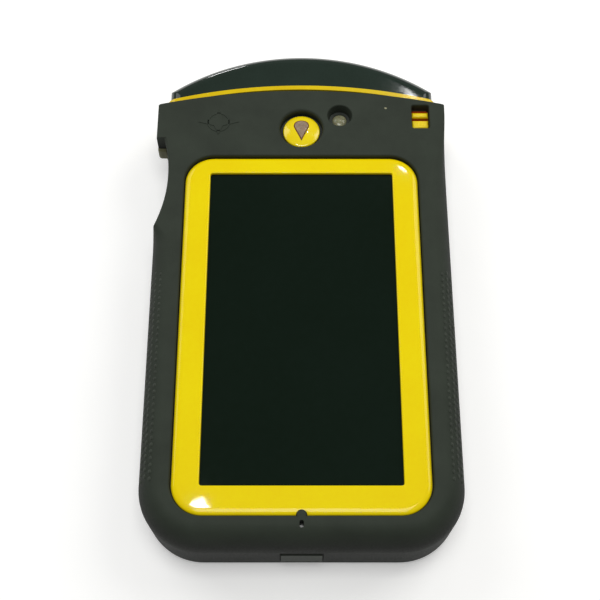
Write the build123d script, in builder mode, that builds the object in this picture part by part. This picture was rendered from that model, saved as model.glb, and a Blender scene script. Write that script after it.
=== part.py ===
# A rugged handheld GPS unit, lying on its back: +X to its right, +Y towards the antenna dome,
# +Z out of the display. The origin is the middle of the surface that it lies on. Millimetres.
import os
from math import acos, atan, cos, degrees, radians, sin, sqrt

from build123d import *

os.makedirs("parts", exist_ok=True)

# Overall size
length = 184.0
width = 102.0
thickness = 28.0
half_width = width / 2
head_y = length / 2
overrun = 2 * length  # longer than anything that it cuts
same_place = 1e-4  # points closer than this are one point

# Rubber boot
boot_wall = 3.7  # rubber over the sides of the case
boot_front = 3.5  # rubber over the front of the case
boot_back = 2.0  # rubber under the back of the case
boot_draft = 2.5  # degrees, from the belt to the back
boot_belt_z = 18.0  # where the boot is widest
slope_width = 7.2  # the rounded front edge, in plan
slope_steps = 4
shoulder_edge = 0.9  # the head end has square shoulders: only this much is eased
shoulder_taper = 45  # degrees
shoulder_left = 18.5  # below the middle of the scallop, where the left shoulder starts
shoulder_right = 50.0  # below the dome's tip, where the right shoulder starts
back_edge_r = 3.0
back_edge_steps = 3
tail_corner_r = 20.0
boot_head_sag = 5.86  # the boot's head edge is an arc: its middle stands this far above its ends
boot_head_drop = 19.1  # from the dome's tip down to the middle of that arc
scallop_r = 38.0
scallop_depth = 4.8
scallop_from_head = 55.6
scallop_low_r = 6.0
scallop_high_r = 1.0
emblem_height = 0.3
emblem_place = (-29.3, 32.5)  # right of the middle, below the dome's tip
emblem_long = 9.0
emblem_short = 5.4
emblem_waist = 1.6
emblem_ring_r = 3.8
emblem_ring_width = 0.7

# Inner case
case_wall = 2.0
split_z = 14.5  # where the two housings meet
pad_recess = 0.5  # the back pad sits this much above the boot's back
pad_side_gap = 7.8  # from the side of the case to the pad
pad_corner_r = 10.0
pad_tail_gap = 11.6  # from the boot's tail to the pad
pad_head_gap = 32.0  # from the dome's tip to the pad
fit_gap = 0.3  # between pieces that only lie beside each other
slip_gap = 0.1  # between pieces that are pushed together

# Head end: trim bead and dome
trim_sag = 6.49  # from the middle of the bead's arc down to its ends
trim_width = 1.7
trim_from_head = 16.6
trim_proud = 0.6
trim_ridge = 0.55
dome_sag = 15.6  # from the dome's tip down to its head corners
dome_wall = 2.2
dome_back_z = 1.2
dome_front_gap = 2.0  # from the boot's front down to the dome's
dome_front_r = 6.0
dome_back_r = 3.5
dome_corner_r = 1.2

# Display
window_width = 63.0
window_length = 112.0
window_corner_r = 0.8
glass_overlap = 1.6
glass_thickness = 1.1
glass_recess = 1.2
display_overlap = 0.5
display_thickness = 3.0
bezel_side = 8.65
bezel_head = 6.2
bezel_tail = 9.3
bezel_corner_r = 9.75
bezel_recess = 1.0
bezel_edge_r = 1.0
bezel_from_tail = 9.3
skirt_wall = 2.4
boot_bezel_gap = 0.35

# Home button
button_d = 13.0
button_side_gap = 1.05
button_from_head = 35.0
button_recess = 1.3
button_rise = 0.8
button_travel = 0.6
button_stem_d = 6.0
button_end_gap = 0.05
running_gap = 0.08
drop_r = 2.9  # the teardrop window's round end
drop_length = 8.6
drop_depth = 0.75

# Light sensor, charge light and cord anchor, placed from the middle and the dome's tip
sensor_place = (13.6, 29.6)
sensor_d = 5.2
sensor_rise = 1.0
sensor_body = 2.6
sensor_cone_d = 8.6
sensor_cone_low_d = 6.2
led_size = (3.0, 3.0, 2.4)
pipe_place = (30.0, 26.5)
pipe_d = 0.9
anchor_side_gap = 0.05
anchor_from_head = 30.0
anchor_window = (6.2, 9.7)
anchor_corner_r = 0.8
anchor_rise = 1.9  # above the case
anchor_depth = 3.5  # below the case's front
anchor_rim = 0.8
anchor_floor = 1.0
bar_d = 2.4
bar_pitch = 3.5
bar_start = 1.85  # from the anchor's tail edge to the first bar's middle
bar_count = 3

# Microphone
mic_from_tail = 6.4
mic_hole = (1.3, 2.1)
mic_collar_r = 1.75
mic_size = (4.0, 3.0, 1.4)
mic_corner_r = 0.1

# Side key
key_from_head = 34.8
key_z = 17.5
key_length = 2.8
key_height = 6.0
key_proud = 0.3
key_travel = 0.5
key_stem_d = 2.0
key_edge_r = 0.9
key_rim_r = 0.45
key_stem_reach = 0.4  # past the inside of the case

# Port flap in the tail
flap_width = 13.0
flap_low_z = 8.3
flap_high_z = 15.6
flap_proud = 0.4
flap_depth = 3.4
flap_edge_r = 0.9
flap_inner_chamfer = 0.8
flap_side_gap = 0.25
flap_high_gap = 0.4
flap_low_gap = 1.6
flap_axis_z = 7.0
flap_barrel_r = 1.0
flap_axis_inset = 1.1
flap_pin_d = 1.0
flap_ear_width = 1.5
flap_ear_gap = 0.25
usb_width = 9.0
usb_height = 3.8
usb_depth = 7.4
usb_wall = 0.5
usb_mouth = 3.5
usb_tongue = (6.6, 0.7)

# Battery bay and door
battery_width = 59.0
battery_length = 76.0
battery_thickness = 9.4
battery_corner_r = 1.5
battery_edge_r = 1.2
bay_gap = 0.5
bay_wall = 1.5
bay_roof = 1.0
contact_thickness = 2.0
contact_width = 14.0
contact_height = 6.0
door_width = 65.4
door_thickness = 1.8
door_corner_r = 4.0
door_edge_r = 0.4
hinge_from_tail = 22.6
hinge_barrel_r = 1.2
hinge_barrel_length = 50.0
hinge_pin_d = 1.2
hinge_pin_engagement = 3.0
hinge_door_gap = 0.7  # from the barrel to the door's edge beside it
hinge_to_bay = 6.7
seal_width = 1.1
seal_height = 0.6
lock_d = 14.0
lock_stem_d = 5.0
lock_disc = 1.2
lock_slot = (9.0, 1.6, 0.6)
cam_size = (4.0, 10.0, 1.0)
cam_gap = 0.2
lock_to_door_end = 8.6

# Inside
board_thickness = 1.2
board_side_gap = 10.3
board_tail_gap = 1.0
board_head_gap = 32.0
board_tongue_width = 60.0
board_tongue = 4.0
board_roof_gap = 0.3
key_tab_gap = 2.3
key_tab_length = 8.4
chassis_thickness = 2.0
chassis_side_gap = 7.8
chassis_tail_gap = 6.0
chassis_head_gap = 46.0
chassis_slot = (44.0, 12.0)
chassis_slots = 3
chassis_slot_pitch = 30.0
post_d = 5.0
post_x = 31.0
post_tail_gap = 12.0
post_head_gap = 50.0
can_sizes = ((24.0, 22.0), (18.0, 16.0), (20.0, 28.0))
can_places = ((-14.0, 18.0), (18.0, 14.0), (14.0, -34.0))
can_height = 2.2
can_corner_r = 1.25
gnss_board_width = 63.0
gnss_board_length = 22.0
gnss_board_from_head = 9.5
gnss_board_z = 16.0
gnss_board_thickness = 1.0
patch_size = 20.0
patch_height = 4.0
patch_corner_r = 1.0
patch_edge = 0.5
connector_size = (16.0, 2.4)
switch_size = 6.0
switch_plunger_d = 3.2
switch_plunger = 0.6
side_switch_size = (6.0, 5.0, 5.0)
side_plunger = 1.0

# Back of the case
speaker_place = (-18.0, 44.0)
speaker_d = 16.0
speaker_height = 4.5
speaker_cone_d = 11.2
speaker_cone = 0.5
grille_d = 16.8
grille_thickness = 1.0
grille_slots = 5
grille_slot_width = 1.2
grille_slot_pitch = 2.6
grille_hole_d = 13.0
camera_place = (18.0, 44.0)
camera_ring_d = 12.8
camera_ring_edge = 0.3
camera_window_d = 9.0
camera_hole_d = 7.5
camera_size = (9.0, 9.0, 6.0)
camera_lens_d = 6.0
camera_lens = 1.6
flash_place = (6.0, 44.0)
flash_window_d = 4.0
flash_hole_d = 2.8
window_thickness = 0.8
window_recess = 0.15
flash_led_size = (3.0, 3.0, 1.0)

# Fasteners
screw_d = 2.5
screw_head_d = 4.6
screw_head = 1.6
screw_drive_r = 1.15
screw_drive = 0.8
screw_clear_d = 2.7
screw_boss_d = 5.6
screw_grip = 6.0
screw_pilot = 6.6
screw_side = 10.0
screw_tail = 16.6
screw_middle = 5.0
screw_head_place = (36.0, 27.5)
insert_d = 4.2
insert_bore_d = 3.0
insert_length = 5.0
insert_boss_d = 5.6
insert_boss_roof = 1.0
insert_spacing = (72.4, 100.0)
insert_from_tail = 33.6
gasket_width = 0.9
gasket_height = 0.8

# Places that follow from the sizes above
tail_y = -head_y + flap_proud
case_front_z = thickness - boot_front
plate_low_z = case_front_z - case_wall
case_back_z = boot_back
back_floor_z = case_back_z + case_wall
bezel_top_z = thickness - bezel_recess
glass_top_z = bezel_top_z - glass_recess
glass_low_z = glass_top_z - glass_thickness
display_low_z = glass_low_z - display_thickness
chassis_low_z = display_low_z - chassis_thickness
case_half = half_width - boot_wall
case_inner_half = case_half - case_wall
anchor_size = (anchor_window[0] - fit_gap, anchor_window[1] - fit_gap)
anchor_place = (case_inner_half - anchor_side_gap - anchor_size[0] / 2, anchor_from_head)
pad_width = 2 * (case_half - pad_side_gap)
case_tail_y = tail_y + boot_wall
bezel_width = window_width + 2 * bezel_side
bezel_length = window_length + bezel_head + bezel_tail
bezel_y = tail_y + bezel_from_tail + bezel_length / 2
window_y = bezel_y - bezel_length / 2 + bezel_tail + window_length / 2
scallop_x = scallop_depth - scallop_r - half_width
scallop_y = head_y - scallop_from_head
trim_half = case_half + trim_proud
trim_r = (trim_half**2 + trim_sag**2) / (2 * trim_sag)
trim_y = head_y - trim_from_head - trim_r  # centre of the trim bead's arc
dome_r = (case_half**2 + dome_sag**2) / (2 * dome_sag)
case_head = (trim_r - trim_width / 2, trim_y)
case_open = (trim_r + trim_width, trim_y)
boot_head_r = (half_width**2 + boot_head_sag**2) / (2 * boot_head_sag)
boot_head = (boot_head_r, head_y - boot_head_drop - boot_head_r)
glass_width = window_width + 2 * glass_overlap
glass_length = window_length + 2 * glass_overlap
door_low_z = pad_recess
door_high_z = door_low_z + door_thickness
door_floor_z = door_high_z + fit_gap
hinge_y = tail_y + hinge_from_tail
hinge_z = door_low_z + hinge_barrel_r + slip_gap
door_edge = hinge_barrel_r + hinge_door_gap  # from the hinge to the door's edge beside the barrel
swing_edge = sqrt(door_edge**2 - (hinge_z - door_low_z) ** 2) - fit_gap
bay_low_y = hinge_y + hinge_to_bay
bay_length = battery_length + contact_thickness + 3 * fit_gap
bay_high_y = bay_low_y + bay_length
bay_half = battery_width / 2 + bay_gap
bay_roof_z = door_floor_z + fit_gap + battery_thickness + fit_gap
board_low_z = bay_roof_z + bay_roof + board_roof_gap
board_z = board_low_z + board_thickness
lock_y = bay_high_y + bay_wall + fit_gap + cam_size[1] / 2
door_head_y = lock_y + lock_to_door_end
pad_low_y = tail_y + pad_tail_gap
pad_length = head_y - pad_head_gap - pad_low_y
pad_y = pad_low_y + pad_length / 2
flap_axis_y = -head_y + flap_axis_inset
usb_z = board_low_z - usb_height / 2
key_y = head_y - key_from_head
stem_low_z = plate_low_z - button_travel - button_end_gap * 2
cap_low_z = case_front_z + button_travel + slip_gap + button_end_gap
button_y = head_y - button_from_head
post_places = (
    (-post_x, tail_y + post_tail_gap + boot_wall),
    (post_x, tail_y + post_tail_gap + boot_wall),
    (-post_x, head_y - post_head_gap),
    (post_x, head_y - post_head_gap),
)
screw_places = (
    (-half_width + screw_side, tail_y + screw_tail),
    (half_width - screw_side, tail_y + screw_tail),
    (-half_width + screw_side, -screw_middle),
    (half_width - screw_side, -screw_middle),
    (-screw_head_place[0], head_y - screw_head_place[1]),
    (screw_head_place[0], head_y - screw_head_place[1]),
)
insert_y = tail_y + insert_from_tail + insert_spacing[1] / 2


def from_head(place):
    # A place given as (right of the middle, below the dome's tip)
    return (place[0], head_y - place[1])


def outline(z, inset, head=None):
    # The boot's outline in plan at height z, drawn inset by a distance. head is the radius and
    # centre of the arc that closes it at the head end; without one it runs on past the dome.
    with BuildSketch(Plane.XY.offset(z)) as sketch:
        with Locations((0, tail_y + inset)):
            Rectangle(2 * (half_width - inset), overrun, align=(Align.CENTER, Align.MIN))
        fillet(sketch.vertices().group_by(Axis.Y)[0], tail_corner_r - inset)
        with Locations((scallop_x, scallop_y)):
            Circle(scallop_r + inset, mode=Mode.SUBTRACT)
        left = sketch.vertices().filter_by(lambda v: abs(v.X + half_width - inset) < same_place)
        near = left.filter_by(lambda v: abs(v.Y - scallop_y) < scallop_r).sort_by(Axis.Y)
        if scallop_low_r - inset > fit_gap:
            fillet(near[0], scallop_low_r - inset)
        if scallop_high_r - inset > fit_gap:
            fillet(near[-1], scallop_high_r - inset)
        if head:
            with Locations((0, head[1])):
                Circle(head[0], mode=Mode.INTERSECT)
    return sketch.sketch


def dome_outline(z, half, radius):
    # The dome in plan: straight sides, an arc over the head end and the trim's arc below it
    with BuildSketch(Plane.XY.offset(z)) as sketch:
        with Locations((0, trim_y)):
            Rectangle(2 * half, overrun, align=(Align.CENTER, Align.MIN))
        with Locations((0, head_y - dome_r)):
            Circle(radius, mode=Mode.INTERSECT)
        with Locations((0, trim_y)):
            Circle(trim_r + trim_width / 2, mode=Mode.SUBTRACT)
    return sketch.sketch


def rounded_bar(z, size, corner_r, place):
    # A rounded rectangle at height z
    with BuildSketch(Plane.XY.offset(z)) as sketch:
        with Locations(place):
            RectangleRounded(size[0], size[1], corner_r)
    return sketch.sketch


def discs(z, diameter, places):
    # Equal discs at height z
    with BuildSketch(Plane.XY.offset(z)) as sketch:
        with Locations(places):
            Circle(diameter / 2)
    return sketch.sketch


def star(across, along, waist):
    # A four-pointed compass star: long points across, short ones along
    points = []
    for corner, reach in enumerate((across, waist, along, waist) * 2):
        angle = radians(45 * corner)
        points.append((reach * cos(angle), reach * sin(angle)))
    return points


def save(part, name):
    part.label = name
    export_step(part, f"parts/{name}.step")


def boot_levels():
    # Heights and insets of the boot's outline, from its back to its front: a rounded back
    # edge, a drafted side up to the belt, and a rounded slope from there to the front
    drafted = (boot_belt_z - back_edge_r) * sin(radians(boot_draft))
    levels = []
    for step in range(back_edge_steps):
        angle = radians(90 * (1 - step / back_edge_steps))
        levels.append((back_edge_r * (1 - sin(angle)), drafted + back_edge_r * (1 - cos(angle))))
    levels.append((back_edge_r, drafted))
    levels.append((boot_belt_z, 0.0))
    for step in range(1, slope_steps + 1):
        angle = radians(90 * step / slope_steps)
        rise = (thickness - boot_belt_z) * sin(angle)
        levels.append((boot_belt_z + rise, slope_width * (1 - cos(angle))))
    return levels


# The boot's shoulders: at the head end and beside the scallop its front has no slope
with BuildPart() as boot_shoulders:
    add(outline(boot_belt_z, 0.0))
    extrude(amount=thickness - shoulder_edge - boot_belt_z)
    add(outline(thickness - shoulder_edge, 0.0))
    extrude(amount=shoulder_edge, taper=shoulder_taper)
    with BuildSketch(Plane.XY.offset(boot_belt_z)) as shoulder_area:
        with Locations((0, scallop_y - shoulder_left)):
            Rectangle(width, overrun, align=(Align.MAX, Align.MIN))
        with Locations((0, head_y - shoulder_right)):
            Rectangle(width, overrun, align=(Align.MIN, Align.MIN))
        with Locations((0, boot_head[1])):
            Circle(boot_head[0], mode=Mode.INTERSECT)
    extrude(amount=thickness - boot_belt_z, mode=Mode.INTERSECT)

# Rubber boot: a jacket that is open at the head, over the bezel and over the back pad
levels = boot_levels()
with BuildPart() as rubber_boot:
    for (low_z, low_inset), (high_z, high_inset) in zip(levels, levels[1:]):
        flare = degrees(atan(abs(high_inset - low_inset) / (high_z - low_z)))
        if low_inset > high_inset:
            add(outline(high_z, high_inset))
            extrude(amount=low_z - high_z, taper=flare)
        else:
            add(outline(low_z, low_inset))
            extrude(amount=high_z - low_z, taper=flare)
    with BuildSketch(Plane.XY) as boot_end:
        with Locations((0, boot_head[1])):
            Circle(boot_head[0])
    extrude(amount=thickness, mode=Mode.INTERSECT)
    add(boot_shoulders.part)
    add(outline(case_back_z, boot_wall))
    extrude(amount=case_front_z - case_back_z, mode=Mode.SUBTRACT)
    with BuildSketch(Plane.XY) as back_opening:
        with Locations((0, pad_y)):
            RectangleRounded(pad_width + 2 * fit_gap, pad_length + 2 * fit_gap, pad_corner_r + fit_gap)
    extrude(amount=case_back_z, mode=Mode.SUBTRACT)
    with BuildSketch(Plane.XY.offset(case_front_z)) as front_opening:
        with Locations((0, bezel_y)):
            RectangleRounded(
                bezel_width + 2 * boot_bezel_gap,
                bezel_length + 2 * boot_bezel_gap,
                bezel_corner_r + boot_bezel_gap,
            )
        with Locations((0, bezel_y - bezel_length / 2)):
            Circle(mic_collar_r - boot_bezel_gap, mode=Mode.SUBTRACT)
        with Locations((0, button_y)):
            Circle(button_d / 2 + button_side_gap)
        with Locations(from_head(pipe_place)):
            Circle(pipe_d / 2)
        with Locations(from_head(anchor_place)):
            RectangleRounded(anchor_window[0], anchor_window[1], anchor_corner_r)
        with Locations((0, tail_y + mic_from_tail)):
            RectangleRounded(mic_hole[0], mic_hole[1], mic_hole[0] / 2 - slip_gap)
    extrude(amount=boot_front, mode=Mode.SUBTRACT)
    with Locations((*from_head(sensor_place), case_front_z)):
        Cone(
            sensor_cone_low_d / 2,
            sensor_cone_d / 2,
            boot_front,
            align=(Align.CENTER, Align.CENTER, Align.MIN),
            mode=Mode.SUBTRACT,
        )
    with BuildSketch(Plane.YZ.offset(-half_width - key_proud)) as key_slot:
        with Locations((key_y, key_z)):
            RectangleRounded(key_length + 2 * fit_gap, key_height + 2 * fit_gap, key_edge_r + fit_gap)
    extrude(amount=boot_wall + 2 * key_proud, mode=Mode.SUBTRACT)
    with BuildSketch(Plane.XZ.offset(head_y)) as flap_opening:
        with Locations((0, flap_axis_z - flap_low_gap)):
            Rectangle(
                flap_width + 2 * flap_side_gap,
                flap_high_z + flap_high_gap - flap_axis_z + flap_low_gap,
                align=(Align.CENTER, Align.MIN),
            )
    extrude(amount=-boot_wall - flap_proud, mode=Mode.SUBTRACT)
    with BuildSketch(Plane.XY.offset(thickness)) as emblem:
        with Locations(from_head(emblem_place)):
            Polygon(*star(emblem_long, emblem_short, emblem_waist), align=None)
            Circle(emblem_ring_r)
            Circle(emblem_ring_r - emblem_ring_width, mode=Mode.SUBTRACT)
            Polygon(*star(emblem_long, emblem_short, emblem_waist), align=None)
    extrude(amount=emblem_height)
save(rubber_boot.part, "rubber_boot")

# Front half of the case: a plate with side walls, open at the head where the trim closes it
with BuildPart() as front_housing:
    add(outline(split_z, boot_wall, case_head))
    extrude(amount=case_front_z - split_z)
    add(outline(split_z, boot_wall + case_wall, case_open))
    extrude(amount=plate_low_z - split_z, mode=Mode.SUBTRACT)
    add(discs(split_z, screw_boss_d, screw_places))
    extrude(amount=plate_low_z - split_z)
    add(discs(split_z, screw_d, screw_places))
    extrude(amount=screw_pilot, mode=Mode.SUBTRACT)
    with BuildSketch(Plane.XY.offset(plate_low_z)) as plate_holes:
        with Locations((0, window_y)):
            Rectangle(
                glass_width + 2 * (slip_gap + skirt_wall + slip_gap),
                glass_length + 2 * (slip_gap + skirt_wall + slip_gap),
            )
        with Locations((0, button_y)):
            Circle(button_stem_d / 2 + running_gap)
        with Locations(from_head(sensor_place)):
            Circle(sensor_d / 2)
        with Locations(from_head(pipe_place)):
            Circle(pipe_d / 2)
        with Locations(from_head(anchor_place)):
            Rectangle(*anchor_size)
        with Locations((0, tail_y + mic_from_tail)):
            RectangleRounded(mic_hole[0], mic_hole[1], mic_hole[0] / 2 - slip_gap)
    extrude(amount=case_wall, mode=Mode.SUBTRACT)
    with BuildSketch(Plane.YZ.offset(-case_half)) as key_hole:
        with Locations((key_y, key_z)):
            Circle(key_stem_d / 2 + running_gap)
    extrude(amount=2 * case_wall, both=True, mode=Mode.SUBTRACT)
    groove = (case_wall - gasket_width) / 2
    with BuildSketch(Plane.XY.offset(split_z)) as gasket_groove:
        add(outline(split_z, boot_wall + groove, case_open))
        add(outline(split_z, boot_wall + groove + gasket_width, case_open), mode=Mode.SUBTRACT)
        add(outline(split_z, boot_wall - slip_gap, case_head), mode=Mode.INTERSECT)
    extrude(amount=gasket_height, mode=Mode.SUBTRACT)
save(front_housing.part, "front_housing")

# Gasket cord in the groove between the two housings
with BuildPart() as housing_seal:
    with BuildSketch(Plane.XY.offset(split_z)) as gasket_path:
        add(outline(split_z, boot_wall + groove, case_open))
        add(outline(split_z, boot_wall + groove + gasket_width, case_open), mode=Mode.SUBTRACT)
        add(outline(split_z, boot_wall, case_head), mode=Mode.INTERSECT)
    extrude(amount=gasket_height)
save(housing_seal.part, "housing_seal")

# Rear half of the case, with the battery bay, the door's recess and the holes in its back
bay_y = (bay_low_y + bay_high_y) / 2
recess_low_y = hinge_y - hinge_barrel_r - 2 * fit_gap
recess_length = door_head_y + fit_gap - recess_low_y
insert_places = GridLocations(insert_spacing[0], insert_spacing[1], 2, 2).local_locations
insert_points = [(spot.position.X, spot.position.Y + insert_y) for spot in insert_places]
with BuildPart() as rear_housing:
    add(outline(case_back_z, boot_wall, case_head))
    extrude(amount=split_z - case_back_z)
    add(outline(back_floor_z, boot_wall + case_wall, case_open))
    extrude(amount=split_z - back_floor_z, mode=Mode.SUBTRACT)
    add(rounded_bar(pad_recess, (pad_width, pad_length), pad_corner_r, (0, pad_y)))
    extrude(amount=case_back_z - pad_recess)
    bay_outer = (2 * (bay_half + bay_wall), bay_length + 2 * bay_wall)
    add(rounded_bar(back_floor_z, bay_outer, bay_wall, (0, bay_y)))
    extrude(amount=bay_roof_z + bay_roof - back_floor_z)
    add(discs(back_floor_z, screw_boss_d, screw_places))
    extrude(amount=split_z - back_floor_z)
    add(discs(back_floor_z, post_d, post_places))
    extrude(amount=board_low_z - back_floor_z)
    add(discs(back_floor_z, insert_boss_d, insert_points))
    extrude(amount=pad_recess + insert_length + insert_boss_roof - back_floor_z)
    for side in (-1, 1):
        ear_x = side * (flap_width / 2 - flap_ear_width / 2)
        with BuildSketch(Plane.YZ.offset(ear_x)) as ear:
            with Locations((flap_axis_y, flap_axis_z)):
                Circle(flap_barrel_r - slip_gap)
                Rectangle(
                    case_tail_y + slip_gap - flap_axis_y,
                    2 * (flap_barrel_r - slip_gap),
                    align=(Align.MIN, Align.CENTER),
                )
        extrude(amount=flap_ear_width / 2, both=True)
    with BuildSketch(Plane.YZ) as flap_pin_bore:
        with Locations((flap_axis_y, flap_axis_z)):
            Circle(flap_pin_d / 2)
    extrude(amount=flap_width, both=True, mode=Mode.SUBTRACT)
    with BuildSketch(Plane.XY.offset(pad_recess)) as door_recess:
        with Locations((0, hinge_y + swing_edge)):
            Rectangle(
                door_width + 2 * fit_gap,
                door_head_y + fit_gap - hinge_y - swing_edge,
                align=(Align.CENTER, Align.MIN),
            )
        with Locations((0, recess_low_y)):
            Rectangle(
                hinge_barrel_length + 2 * fit_gap,
                recess_length / 2,
                align=(Align.CENTER, Align.MIN),
            )
    extrude(amount=door_floor_z - pad_recess, mode=Mode.SUBTRACT)
    with BuildSketch(Plane.XY.offset(pad_recess)) as barrel_recess:
        with Locations((0, hinge_y)):
            Rectangle(hinge_barrel_length + 2 * fit_gap, 2 * (hinge_barrel_r + 2 * fit_gap))
    extrude(amount=hinge_z + hinge_barrel_r + fit_gap - pad_recess, mode=Mode.SUBTRACT)
    with BuildSketch(Plane.YZ) as hinge_bore:
        with Locations((hinge_y, hinge_z)):
            Circle(hinge_pin_d / 2)
    bore_reach = hinge_barrel_length / 2 + fit_gap + hinge_pin_engagement
    extrude(amount=bore_reach, both=True, mode=Mode.SUBTRACT)
    with BuildSketch(Plane.XY.offset(door_floor_z)) as bay:
        with Locations((0, bay_y)):
            Rectangle(2 * bay_half, bay_length)
    extrude(amount=bay_roof_z - door_floor_z, mode=Mode.SUBTRACT)
    add(discs(pad_recess, insert_d, insert_points))
    extrude(amount=insert_length, mode=Mode.SUBTRACT)
    add(discs(case_back_z, screw_clear_d, screw_places))
    extrude(amount=split_z - case_back_z, mode=Mode.SUBTRACT)
    add(discs(case_back_z, screw_head_d + 2 * slip_gap, screw_places))
    extrude(amount=screw_head, mode=Mode.SUBTRACT)
    with BuildSketch(Plane.XY.offset(pad_recess)) as back_pockets:
        with Locations(speaker_place):
            Circle(grille_d / 2 + slip_gap)
        with Locations(camera_place):
            Circle(camera_ring_d / 2 + slip_gap)
    extrude(amount=grille_thickness, mode=Mode.SUBTRACT)
    with BuildSketch(Plane.XY.offset(pad_recess)) as flash_pocket:
        with Locations(flash_place):
            Circle(flash_window_d / 2 + slip_gap)
    extrude(amount=window_recess + window_thickness, mode=Mode.SUBTRACT)
    with BuildSketch(Plane.XY.offset(pad_recess)) as back_holes:
        with Locations(speaker_place):
            Circle(grille_hole_d / 2)
        with Locations(camera_place):
            Circle(camera_hole_d / 2)
        with Locations(flash_place):
            Circle(flash_hole_d / 2)
        with Locations((0, lock_y)):
            Rectangle(cam_size[1] + 4 * fit_gap, cam_size[0] + 4 * fit_gap)
            Circle(lock_stem_d / 2 + fit_gap)
    extrude(amount=back_floor_z - pad_recess, mode=Mode.SUBTRACT)
    with BuildSketch(Plane.XZ.offset(-case_tail_y)) as usb_hole:
        with Locations((0, usb_z)):
            Rectangle(usb_width + 2 * slip_gap, usb_height + 2 * slip_gap)
    extrude(amount=case_wall, both=True, mode=Mode.SUBTRACT)
save(rear_housing.part, "rear_housing")

# Screws from the back of the rear housing into the front housing's bosses
with BuildPart() as housing_screws:
    add(discs(case_back_z, screw_head_d, screw_places))
    extrude(amount=screw_head)
    add(discs(case_back_z + screw_head, screw_d, screw_places))
    extrude(amount=split_z + screw_grip - case_back_z - screw_head)
    with BuildSketch(Plane.XY.offset(case_back_z)) as drives:
        with Locations(screw_places):
            RegularPolygon(screw_drive_r, 6)
    extrude(amount=screw_drive, mode=Mode.SUBTRACT)
save(housing_screws.part, "housing_screws")

# Threaded brass inserts in the back, for a strap, clip or mount
with BuildPart() as strap_inserts:
    add(discs(pad_recess, insert_d, insert_points))
    extrude(amount=insert_length)
    add(discs(pad_recess, insert_bore_d, insert_points))
    extrude(amount=insert_length, mode=Mode.SUBTRACT)
save(strap_inserts.part, "strap_inserts")

# Trim bead: a band round the case between the boot and the dome
trim_high_z = thickness - dome_front_gap + trim_proud
with BuildPart() as accent_trim:
    with BuildSketch(Plane.XY.offset(dome_back_z - trim_proud)) as trim_outline:
        with Locations((0, trim_y)):
            Rectangle(2 * trim_half, overrun, align=(Align.CENTER, Align.MIN))
            Circle(trim_r + trim_width / 2, mode=Mode.INTERSECT)
            Circle(trim_r - trim_width / 2, mode=Mode.SUBTRACT)
    extrude(amount=trim_high_z - dome_back_z + trim_proud)
    with BuildSketch(Plane.XY.offset(back_floor_z)) as trim_opening:
        with Locations((0, trim_y)):
            Rectangle(2 * case_inner_half, overrun, align=(Align.CENTER, Align.MIN))
    extrude(amount=plate_low_z - back_floor_z, mode=Mode.SUBTRACT)
    chamfer(accent_trim.faces().sort_by(Axis.Z)[-1].edges(), trim_ridge)
save(accent_trim.part, "accent_trim")

# Antenna dome: a cap over the head end, open towards the case
dome_high_z = thickness - dome_front_gap
with BuildPart() as antenna_dome:
    add(dome_outline(dome_back_z, case_half, dome_r))
    extrude(amount=dome_high_z - dome_back_z)
    uprights = antenna_dome.edges().filter_by(Axis.Z).group_by(Axis.Y)[-1]
    fillet(uprights, dome_corner_r)
    head_arc = antenna_dome.edges().filter_by(GeomType.CIRCLE).filter_by(
        lambda edge: abs(edge.radius - dome_r) < fit_gap
    )
    fillet(head_arc.sort_by(Axis.Z)[-1], dome_front_r)
    head_arc = antenna_dome.edges().filter_by(GeomType.CIRCLE).filter_by(
        lambda edge: abs(edge.radius - dome_r) < fit_gap
    )
    fillet(head_arc.sort_by(Axis.Z)[0], dome_back_r)
    add(dome_outline(dome_back_z + dome_wall, case_half - dome_wall, dome_r - dome_wall))
    extrude(amount=dome_high_z - dome_back_z - 2 * dome_wall, mode=Mode.SUBTRACT)
save(antenna_dome.part, "antenna_dome")

# Display frame: a flange on the case's front, and a skirt through it that holds the glass
with BuildPart() as front_bezel:
    bezel_size = (bezel_width, bezel_length)
    add(rounded_bar(case_front_z, bezel_size, bezel_corner_r, (0, bezel_y)))
    extrude(amount=bezel_top_z - case_front_z)
    fillet(front_bezel.faces().sort_by(Axis.Z)[-1].edges(), bezel_edge_r)
    skirt_width = glass_width + 2 * (slip_gap + skirt_wall)
    skirt_length = glass_length + 2 * (slip_gap + skirt_wall)
    with BuildSketch(Plane.XY.offset(plate_low_z)) as skirt:
        with Locations((0, window_y)):
            Rectangle(skirt_width, skirt_length)
    extrude(amount=case_wall)
    with BuildSketch(Plane.XY.offset(plate_low_z)) as pocket:
        with Locations((0, window_y)):
            Rectangle(glass_width + 2 * slip_gap, glass_length + 2 * slip_gap)
    extrude(amount=glass_top_z - plate_low_z, mode=Mode.SUBTRACT)
    window = (window_width, window_length)
    add(rounded_bar(glass_top_z, window, window_corner_r, (0, window_y)))
    extrude(amount=glass_recess, mode=Mode.SUBTRACT)
    with BuildSketch(Plane.XY.offset(case_front_z)) as collar_notch:
        with Locations((0, bezel_y - bezel_length / 2)):
            Circle(mic_collar_r)
    extrude(amount=bezel_top_z - case_front_z, mode=Mode.SUBTRACT)
save(front_bezel.part, "front_bezel")

with BuildPart() as display_glass:
    with BuildSketch(Plane.XY.offset(glass_low_z)) as glass_sheet:
        with Locations((0, window_y)):
            Rectangle(glass_width, glass_length)
    extrude(amount=glass_thickness)
save(display_glass.part, "display_glass")

with BuildPart() as display_module:
    with BuildSketch(Plane.XY.offset(display_low_z)) as display_sheet:
        with Locations((0, window_y)):
            Rectangle(window_width + 2 * display_overlap, window_length + 2 * display_overlap)
    extrude(amount=display_thickness)
save(display_module.part, "display_module")

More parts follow.
